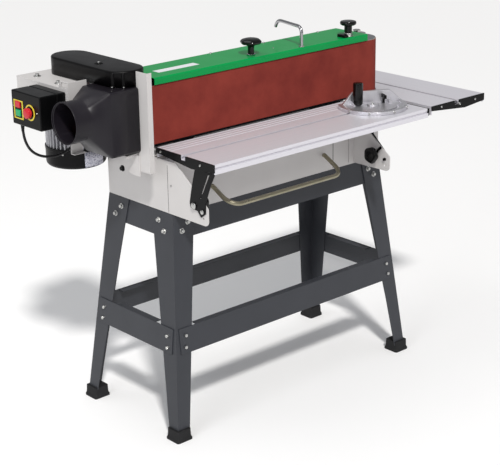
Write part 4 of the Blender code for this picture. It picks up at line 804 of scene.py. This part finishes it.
def make_switch_box():
    """A tall box with a lid line, a yellow-framed pair of buttons and a mushroom stop in a yellow ring."""
    low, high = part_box("switch_box")
    bm = bmesh.new()
    split = low.x + 0.052
    block(bm, (low.x, low.y, low.z), (split, high.y, high.z))
    block(bm, (split, low.y - 0.0002, low.z - 0.0002), (high.x, high.y + 0.0002, high.z + 0.0002))
    piece("switch_case", bm, BLACK_BOX, "stand", ("switch_box",), 0.003, rounds=4)
    face = low.x
    bm = bmesh.new()
    start, stop = middle("start_button"), middle("stop_button")
    emergency = middle("emergency_stop")
    low_z, high_z = start.z - 0.0155, stop.z + 0.0105
    near_y, far_y = start.y - 0.021, start.y + 0.019
    into = Matrix(((0, 0, -1, face), (1, 0, 0, 0), (0, 1, 0, 0), (0, 0, 0, 1)))
    rim = [(near_y, low_z), (far_y, low_z), (far_y, high_z), (near_y, high_z)]
    hole = [(near_y + 0.004, low_z + 0.003), (far_y - 0.003, low_z + 0.003),
            (far_y - 0.003, high_z - 0.003), (near_y + 0.004, high_z - 0.003)]
    slab(bm, rim, -0.0002, 0.0012, into, (hole,))
    slab(bm, circle((emergency.y, emergency.z), 0.0205, 48), -0.0002, 0.0012, into,
         (circle((emergency.y, emergency.z), 0.0165, 48),))
    piece("switch_yellow_frames", bm, YELLOW, "stand", soft=0.0003, rounds=2)
    bm = bmesh.new()
    for y, z in ((158, 882), (56, 878)):
        screw = at(0, y, z)
        screw.x = face
        pan_screw(bm, screw, (-1, 0, 0), 2.2)
    piece("switch_screws", bm, ZINC, "stand")
    for node, finish, slot in (("start_button", BUTTON_GREEN, "green_plastic"),
                               ("stop_button", RED, "red_plastic")):
        lo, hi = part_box(node)
        bm = bmesh.new()
        block(bm, lo, hi)
        piece(f"{node}_cap", bm, finish, node, (node,), 0.0022, rounds=4)
    lo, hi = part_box("emergency_stop")
    radius = 0.84 * (hi.y - lo.y) / 2
    depth = hi.x - lo.x
    crown = facing((hi.x, (lo.y + hi.y) / 2, (lo.z + hi.z) / 2), (-1, 0, 0))
    bm = bmesh.new()
    spin(bm, [(0.0, 0.0), (0.62 * radius, 0.0), (0.60 * radius, 0.42 * depth),
              (0.93 * radius, 0.50 * depth), (radius, 0.60 * depth), (radius, 0.80 * depth),
              (0.94 * radius, 0.92 * depth), (0.75 * radius, 0.985 * depth), (0.45 * radius, depth),
              (0.0, depth)], crown, 48)
    piece("emergency_stop_head", bm, RED, "emergency_stop", ("emergency_stop",))


# ---------------------------------------------------------------- tables and gauge


SLOT_HALF, SLOT_DEEP = 0.0088, 0.0125
MAIN_CAP_SCREWS = ((-105, 763), (-259, 759))  # back from the stand's middle, height
END_CAP_SCREWS = ((453, 763), (530, 759), (598, 760))  # along from the stand's middle, height


def make_table_details():
    """Screws in the tables' end caps, the left arm's bolt heads, and painted shade on the end table's slot
    floor.
    """
    bm = bmesh.new()
    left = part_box("table_cap_left")[0].x
    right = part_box("table_cap_right")[1].x
    for y, z in MAIN_CAP_SCREWS:
        for x, out in ((left, -1), (right, 1)):
            point = at(0, y, z)
            point.x = x
            pan_screw(bm, point, (out, 0, 0), 3.4)
    piece("table_cap_screws", bm, ZINC, "main_table")
    bm = bmesh.new()
    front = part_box("end_table_cap_front")[0].y
    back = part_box("end_table_cap_back")[1].y
    for x, z in END_CAP_SCREWS:
        for y, out in ((front, -1), (back, 1)):
            point = at(x, 0, z)
            point.y = y
            pan_screw(bm, point, (0, out, 0), 3.4)
    piece("end_table_cap_screws", bm, ZINC, "end_table")
    bm = bmesh.new()
    clamp_left, pivot = axis_of("table_knob_left_turn"), axis_of("table_tilt")
    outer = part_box("table_arm_left")[0].x + 0.001
    for y, z, radius in ((clamp_left.y, clamp_left.z, 9.0), (pivot.y, pivot.z, 6.0)):
        r = radius * MM
        spin(bm, [(r, -0.001), (r, 0.0006), (0.9 * r, 0.0016), (0.6 * r, 0.0024), (0.0, 0.0027)],
             facing((outer, y, z), (-1, 0, 0)), 32)
    piece("arm_bolt_heads", bm, ZINC, "main_table")
    # A thin dark sheet on the end table's slot floor: painted shade, where the slot lies in shadow.
    end_low, end_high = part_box("end_table")
    slot_floor = end_high.z - SLOT_DEEP
    slot_x = at(520, 0, 0).x
    bm = bmesh.new()
    block(bm, (slot_x - SLOT_HALF, end_low.y, slot_floor),
          (slot_x + SLOT_HALF, end_high.y, slot_floor + 0.0001))
    piece("end_table_groove_painted_shade", bm, PAINTED_SLOT_SHADE, "end_table")


FLUTES = 4  # drawn 6 mm wide, so that they show
FLUTE_PITCH = 0.0153
ALONG_X = Matrix(((0, 0, 1, 0), (1, 0, 0, 0), (0, 1, 0, 0), (0, 0, 0, 1)))


def make_main_table():
    """The table's extrusion: round flutes beside the belt, a T-slot, and a lipped front edge."""
    low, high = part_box("main_table")
    top = high.z
    section = [(high.y, top)]
    for k in range(FLUTES):
        y = high.y - 0.0068 - FLUTE_PITCH * k
        section += [(y + 0.0030, top), (y + 0.0022, top - 0.0011), (y, top - 0.0017),
                    (y - 0.0022, top - 0.0011), (y - 0.0030, top)]
    slot = high.y - 0.106
    lips, floor = top - 0.0045, top - SLOT_DEEP
    section += [(slot + 0.005, top), (slot + 0.005, lips), (slot + 0.009, lips), (slot + 0.009, floor),
                (slot - 0.009, floor), (slot - 0.009, lips), (slot - 0.005, lips), (slot - 0.005, top)]
    face = low.y + 0.003
    section += [(face, top), (face, top - 0.0085), (face + 0.0025, top - 0.0090),
                (face + 0.0025, top - 0.0120), (low.y, top - 0.0125), (low.y, low.z)]
    web, wall = top - 0.0055, 0.004
    section += [(low.y + wall, low.z), (low.y + wall, top - 0.018), (face + 0.0065, web),
                (slot - 0.013, web), (slot - 0.013, floor - wall), (slot + 0.013, floor - wall),
                (slot + 0.013, web), (high.y - wall, web), (high.y - wall, low.z), (high.y, low.z)]
    bm = bmesh.new()
    slab(bm, section, low.x, high.x, ALONG_X)
    piece("main_table_extrusion", bm, TABLE_X, "main_table", ("main_table",), 0.0004, rounds=2)


GAUGE_TURN = -26.9
GAUGE_RADIUS = 0.0955
FENCE_NEAR, FENCE_FAR = 0.027, 0.037


def make_gauge():
    """The mitre gauge's head: a half disc with a raised rim, a curved slot, a boss and a tapered fence."""
    pivot = axis_of("mitre_turn")
    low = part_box("mitre_head")[0].z
    turn = Matrix.Translation((pivot.x, pivot.y, low)) @ Matrix.Rotation(math.radians(GAUGE_TURN), 4, "Z")
    edge = math.degrees(math.asin(FENCE_NEAR / GAUGE_RADIUS))
    bm = bmesh.new()
    disc = arc((0, 0), GAUGE_RADIUS, -180.0 - edge, edge, 72)
    slot = curved_slot((0, 0), GAUGE_RADIUS - 0.024, 0.0035, -125.0, -12.0, 24)
    slab(bm, disc, 0.0, 0.0065, turn, (slot,))
    rim = arc((0, 0), GAUGE_RADIUS, -180.0 - edge, edge, 72) + arc((0, 0), GAUGE_RADIUS - 0.011, edge,
                                                                   -180.0 - edge, 72)
    slab(bm, rim, 0.0062, 0.0095, turn)
    slab(bm, circle((0, 0), 0.017, 40), 0.0062, 0.0105, turn)
    for x in (-0.052, 0.052):
        block(bm, (x - 0.0035, 0.0, 0.006), (x + 0.0035, FENCE_NEAR + 0.001, 0.016), turn)
    piece("gauge_head", bm, CASTING, "mitre_head", ("mitre_head",), 0.0011)
    bm = bmesh.new()
    upright = turn @ Matrix(((1, 0, 0, 0), (0, 0, -1, FENCE_FAR), (0, 1, 0, 0), (0, 0, 0, 1)))
    outline = [(-0.078, 0.0), (0.098, 0.0), (0.098, 0.006), (0.062, 0.038), (0.058, 0.040), (-0.047, 0.040),
               (-0.051, 0.038), (-0.078, 0.006)]
    slab(bm, outline, 0.0, FENCE_FAR - FENCE_NEAR, upright)
    piece("gauge_fence", bm, CASTING, "mitre_head", soft=0.0014)
    bm = bmesh.new()
    for degrees in range(-150, -29, 5):
        long = degrees % 15 == 0
        line = turn @ Matrix.Rotation(math.radians(degrees), 4, "Z")
        reach = GAUGE_RADIUS - (0.0085 if long else 0.0055)
        block(bm, (reach, -0.00025, 0.0093), (GAUGE_RADIUS - 0.0015, 0.00025, 0.00965), line)
    piece("gauge_scale", bm, BLACK_PAINT, "mitre_head")
    bm = bmesh.new()
    pan_screw(bm, turn @ Vector((0, 0, 0.0105)), (0, 0, 1), 4.0)
    for degrees in (-150, -115, -72, -30):
        out = Vector((math.cos(math.radians(degrees)), math.sin(math.radians(degrees)), 0.0))
        rim_point = turn @ (out * (GAUGE_RADIUS - 0.0005) + Vector((0, 0, 0.0050)))
        cap_screw(bm, rim_point, turn.to_3x3() @ out, 3.2)
    piece("gauge_screws", bm, ZINC, "mitre_head")
    bm = bmesh.new()
    block(bm, (0.034, 0.0, 0.020), (0.041, 0.026, 0.030), turn)
    spin(bm, [(0.0, 0.030), (0.0035, 0.030), (0.0035, 0.006), (0.0, 0.006)],
         turn @ Matrix.Translation((0.037, 0.014, 0.0)), 16)
    piece("gauge_flip_pin", bm, BLACK_PAINT, "mitre_head", soft=0.0008)
    make_gauge_grip()


def make_gauge_grip():
    """A tall black grip with shallow flutes."""
    grip = axis_of("mitre_handle_turn")
    place = Matrix.Translation((grip.x, grip.y, 0.0))
    low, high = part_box("mitre_handle")
    radius = (high.x - low.x) / 2
    rings = []
    for share, height in ((0.78, 0.0), (0.96, 0.06), (1.0, 0.10), (1.0, 0.94), (0.95, 0.985), (0.80, 1.0)):
        deep = 0.045 * (1.0 if 0.06 < height < 0.96 else 0.3)

        def fluted(angle):
            return radius * share * (1.0 - deep * (0.5 + 0.5 * math.cos(12 * angle)))

        rings.append(lobed(place, 72, fluted, low.z + height * (high.z - low.z)))
    bm = bmesh.new()
    skin(bm, rings, ends=(0, -1))
    piece("gauge_grip", bm, KNOB_BLACK, "mitre_handle", ("mitre_handle",))


# ---------------------------------------------------------------- knobs, lever and bar


def star_knob(name, node, joint, out, radius):
    """A five-lobed clamping knob with rolled edges on a round hub."""
    centre = axis_of(joint)
    low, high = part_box(node)
    root = Vector([(h if o < 0 else l) if o else c for l, h, c, o in zip(low, high, centre, out)])
    place = facing(root, out)
    rings = []
    for share, height in ((0.30, 0.0085), (0.80, 0.0085), (0.93, 0.0096), (0.99, 0.0120), (1.0, 0.0150),
                          (0.99, 0.0180),
                          (0.93, 0.0204), (0.80, 0.0216), (0.50, 0.0219), (0.42, 0.0210)):

        def five_lobed(angle):
            return radius * share * (0.955 + 0.045 * math.cos(5 * angle) if share > 0.6 else 0.94)

        rings.append(lobed(place, 80, five_lobed, height))
    bm = bmesh.new()
    skin(bm, rings, ends=(0, -1))
    spin(bm, [(0.0, 0.0), (0.0098, 0.0), (0.0100, 0.0008), (0.0100, 0.0100), (0.0, 0.0100)], place, 40)
    piece(name, bm, KNOB_BLACK, node, (node,))


def make_star_knobs():
    """Two knobs that clamp the main table's tilt, and a smaller one for the end table's post."""
    star_knob("left_clamp_knob", "table_knob_left", "table_knob_left_turn", (1, 0, 0), 0.024)
    star_knob("right_clamp_knob", "table_knob_right", "table_knob_right_turn", (-1, 0, 0), 0.024)
    star_knob("post_clamp_knob", "end_table_knob", "end_table_knob_turn", (0, -1, 0), 0.0175)


def make_cover_knob():
    """A broad lobed knob on a stem with a bright collar."""
    axis = axis_of("cover_knob_turn")
    low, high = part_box("cover_knob")
    place = Matrix.Translation((axis.x, axis.y, low.z))
    tall = high.z - low.z
    rings = []
    for r, h in ((0.0085, 0.0), (0.0085, 0.018), (0.0090, 0.023), (0.0115, 0.0265), (0.0180, 0.0282),
                 (0.0255, 0.0300), (0.0290, 0.0330), (0.0296, 0.0362), (0.0280, 0.0395), (0.0235, 0.0425),
                 (0.0160, 0.0446), (0.0080, 0.0455)):
        deep = 0.035 * min(1.0, max(0.0, (r - 0.012) / 0.012))

        def six_lobed(angle):
            return r * (1.0 + deep * (math.cos(6 * angle) - 1.0))

        rings.append(lobed(place, 96, six_lobed, h * tall / 0.0457))
    bm = bmesh.new()
    skin(bm, rings, ends=(0, -1))
    piece("cover_knob_head", bm, KNOB_BLACK, "cover_knob", ("cover_knob",))
    bm = bmesh.new()
    spin(bm, [(0.0086, 0.0), (0.0112, 0.0), (0.0116, 0.0008), (0.0116, 0.0030), (0.0108, 0.0038),
              (0.0086, 0.0038)], place, 40)
    piece("cover_knob_collar", bm, CHROME, "cover_knob")


def make_tracking_knob():
    """A flat knob on a threaded stem that turns in a black block with a bright hexagon nut."""
    axis = axis_of("tracking_knob_turn")
    low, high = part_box("tracking_knob")
    place = Matrix.Translation((axis.x, axis.y, 0.0))
    bm = bmesh.new()
    spin(bm, [(0.0, high.z), (0.018, high.z), (0.0215, high.z - 0.001), (0.023, high.z - 0.0035),
              (0.0232, high.z - 0.006), (0.0225, high.z - 0.009), (0.0190, high.z - 0.0115),
              (0.0120, high.z - 0.0128), (0.0098, high.z - 0.014), (0.0098, low.z + 0.010),
              (0.0085, low.z + 0.009), (0.0085, low.z), (0.0, low.z)], place, 56)
    for k in range(10):
        rib = place @ Matrix.Rotation(math.pi / 5 * k, 4, "Z")
        block(bm, (0.0085, -0.0011, low.z + 0.011), (0.0108, 0.0011, high.z - 0.014), rib)
    piece("tracking_knob_head", bm, KNOB_BLACK, "tracking_knob", ("tracking_knob",))
    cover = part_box("top_guard")[1].z
    bm = bmesh.new()
    spin(bm, [(0.0090, cover), (0.0150, cover), (0.0150, cover + 0.0015), (0.0090, cover + 0.0015)], place,
         40)
    spin(bm, [(0.0090, cover + 0.0015), (0.0128, cover + 0.0015), (0.0132, cover + 0.0025),
              (0.0132, cover + 0.0085), (0.0122, cover + 0.0095), (0.0090, cover + 0.0095)], place, 6, 0.4)
    piece("tracking_nut", bm, ZINC, "stand")
    bm = bmesh.new()
    block(bm, at(296, -79, cover / MM - 0.2), at(311, -49, cover / MM + 8.0))
    piece("tracking_block", bm, BLACK_BOX, "stand", soft=0.0016)


LEVER_FOOT = (134, -74)


def make_tension_lever():
    """A bent bright bar: up from the cover, over in one run and down at its tip."""
    low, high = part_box("tension_lever")
    top = high.z / MM - 4.0
    foot = low.z / MM
    rise = [(*LEVER_FOOT, height) for height in (foot, foot + 10, top - 21, top - 15)]
    bend = [(134.6, -70.8, top - 6.5), (136.2, -63.0, top - 1.2), (138.6, -52.0, top)]
    run = [(146, -17, top), (154, 19, top), (157.5, 36, top - 0.6)]
    tip = [(159.6, 46.0, top - 4.2), (161.6, 54.0, top - 11.0), (163.0, 60.0, top - 20.0)]
    route = [at(*p) for p in rise + bend + run + tip]
    settle(tube("tension_lever_bar", smooth_path(route, 8), 0.0047, CHROME, 8), "tension_lever",
           ("tension_lever",))
    bm = bmesh.new()
    spin(bm, [(0.0043, foot * MM), (0.0078, foot * MM), (0.0078, foot * MM + 0.0016),
              (0.0043, foot * MM + 0.0016)], Matrix.Translation(at(*LEVER_FOOT, 0)), 32)
    piece("tension_lever_washer", bm, ZINC, "tension_lever")


BAR_RADIUS, BAR_BEND = 0.006, 0.035


def make_front_bar():
    """The bent rod hinged across the cabinet's front, smooth through its bends."""
    low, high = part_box("front_bar_handle")
    radius = BAR_RADIUS
    root = axis_of("front_bar_swing")
    left, right = low.x + radius, high.x - radius
    front = low.y + radius
    bend = BAR_BEND
    slope = (high.z - low.z - 2 * radius) / (root.y - front)

    def corner(x, way):
        points = []
        for k in range(13):
            angle = math.radians(7.5 * k)
            y = front + bend - bend * math.sin(angle)
            points.append((x + way * bend * (1 - math.cos(angle)), y, root.z + (y - root.y) * slope))
        return points

    ends = [[(x, root.y - step, root.z) for step in (0.0, 0.004)] for x in (left, right)]
    path = [*ends[0], *corner(left, 1), *corner(right, -1)[::-1], *ends[1][::-1]]
    settle(tube("front_bar", [Vector(p) for p in path], radius, ROD, 8), "front_bar_handle",
           ("front_bar_handle",))


# ---------------------------------------------------------------- cabinet


CABINET_FACE = 0.1347  # from the middle of the stand to the cabinet's front sheet


def make_cabinet_details():
    """The bracket's bolt, a rivet in the cabinet's left end, and the seams of its folded sheet."""
    shell_y = CENTRE.y - CABINET_FACE
    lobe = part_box("left_end_bracket")[0].x
    bm = bmesh.new()
    hex_bolt(bm, Vector((lobe, at(0, -64, 0).y, 0.730)), (-1, 0, 0), 10.0, 8.0)
    piece("bracket_bolt", bm, BLACK_PAINT, "stand")
    bm = bmesh.new()
    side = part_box("cabinet")[0].x
    pan_screw(bm, Vector((side, at(0, -132, 0).y, 0.677)), (-1, 0, 0), 3.0)
    piece("cabinet_rivets", bm, ZINC, "stand")
    bm = bmesh.new()
    block(bm, (at(195.2, 0, 0).x, shell_y - 0.0008, 0.604), (at(196.4, 0, 0).x, shell_y + 0.0004, 0.736))
    block(bm, (side - 0.0004, at(0, -119, 0).y, 0.603), (side + 0.0005, at(0, -118.2, 0).y, 0.728))
    piece("cabinet_seam", bm, BLACK_PAINT, "stand")


# ---------------------------------------------------------------- frame parts that keep their shape


def dress_frame():
    """Finishes for the frame parts that keep their own shape."""
    corners = [f"{face}_{end}" for face in ("front", "back") for end in ("left", "right")]
    sides = ("front", "back", "left", "right")
    dress(STAND_COAT, *(f"leg_{c}" for c in corners), "unit_frame", "end_table_guide")
    dress(STAND_COAT, *(f"top_rail_{s}" for s in sides), *(f"stretcher_{s}" for s in sides))
    dress(CREAM, "cabinet", "right_wing", "left_end_bracket", "work_stop", "motor_plate", "back_guard")
    dress(GREEN, "top_guard")
    dress(BLACK_PAINT, "table_arm_left", "table_arm_right")
    dress(BLACK_BOX, "table_cap_left", "table_cap_right", "end_table_cap_front", "end_table_cap_back")
    dress(TABLE_Y, "end_table")
    dress(LATHE, "drive_roller", "idler_roller", "motor_pulley", "driven_pulley")
    dress(ZINC, "idler_bracket", "end_table_post", "mitre_bar")
    dress(SHEATH, "v_belt")


# ---------------------------------------------------------------- floor and light


SKY_LIGHT = 0.36
SKY_SEEN = 1.3
SUN_FROM = (-0.50, -0.80, 1.0)
SUN_POWER = 2.5
SUN_SOFTNESS = 0.09


def lamp(name, place, aim, size, power, tone):
    data = bpy.data.lights.new(name, "AREA")
    data.shape = "RECTANGLE"
    data.size, data.size_y = size
    data.energy = power
    data.color = linear(tone)[:3]
    obj = bpy.data.objects.new(name, data)
    way = Vector(aim) - Vector(place)
    obj.matrix_world = Matrix.Translation(place) @ way.to_track_quat("-Z", "Y").to_matrix().to_4x4()
    bpy.context.scene.collection.objects.link(obj)


def make_studio():
    """A white floor, a soft key from above the operator's left, a bright backdrop and two wide fills."""
    bm = bmesh.new()
    bmesh.ops.create_grid(bm, x_segments=1, y_segments=1, size=14.0)
    mesh = bpy.data.meshes.new("floor")
    bm.to_mesh(mesh)
    bm.free()
    material = base("studio_floor", "#fbfbfb", Roughness=0.9, Specular_IOR_Level=0.1)[0]
    mesh.materials.append(material)
    floor = bpy.data.objects.new("floor", mesh)
    bpy.context.scene.collection.objects.link(floor)
    world = bpy.data.worlds.new("studio")
    world.use_nodes = True
    sky = world.node_tree
    seen = add(sky, "LightPath").outputs["Is Camera Ray"]
    strength = add(sky, "MapRange", {"Value": seen, "To Min": SKY_LIGHT, "To Max": SKY_SEEN})
    sky.nodes["Background"].inputs["Color"].default_value = linear("#fbfcff")
    sky.links.new(strength.outputs[0], sky.nodes["Background"].inputs["Strength"])
    bpy.context.scene.world = world
    sun = bpy.data.lights.new("key", "SUN")
    sun.energy = SUN_POWER
    sun.angle = SUN_SOFTNESS
    sun.color = linear("#fffdfa")[:3]
    key = bpy.data.objects.new("key", sun)
    key.rotation_mode = "QUATERNION"
    key.rotation_quaternion = Vector(SUN_FROM).to_track_quat("Z", "Y")
    bpy.context.scene.collection.objects.link(key)
    lamp("left_fill", (-3.6, -1.0, 2.2), (0.0, 0.0, 0.7), (2.0, 1.6), 30.0, "#f8fbff")
    lamp("top", (-0.9, 0.5, 3.2), (0.0, 0.0, 0.5), (1.6, 1.2), 14.0, "#ffffff")
    bpy.context.scene.view_settings.view_transform = "Standard"


make_camera()
make_lead()
make_feet()
make_stand_bolts()
make_sanding_belt()
make_cover_details()
make_idler_end()
make_dust_hood()
make_belt_casing()
make_motor()
make_motor_plate_bolts()
make_switch_box()
make_main_table()
make_table_details()
make_gauge()
make_star_knobs()
make_cover_knob()
make_tracking_knob()
make_tension_lever()
make_front_bar()
make_cabinet_details()
dress_frame()
make_studio()
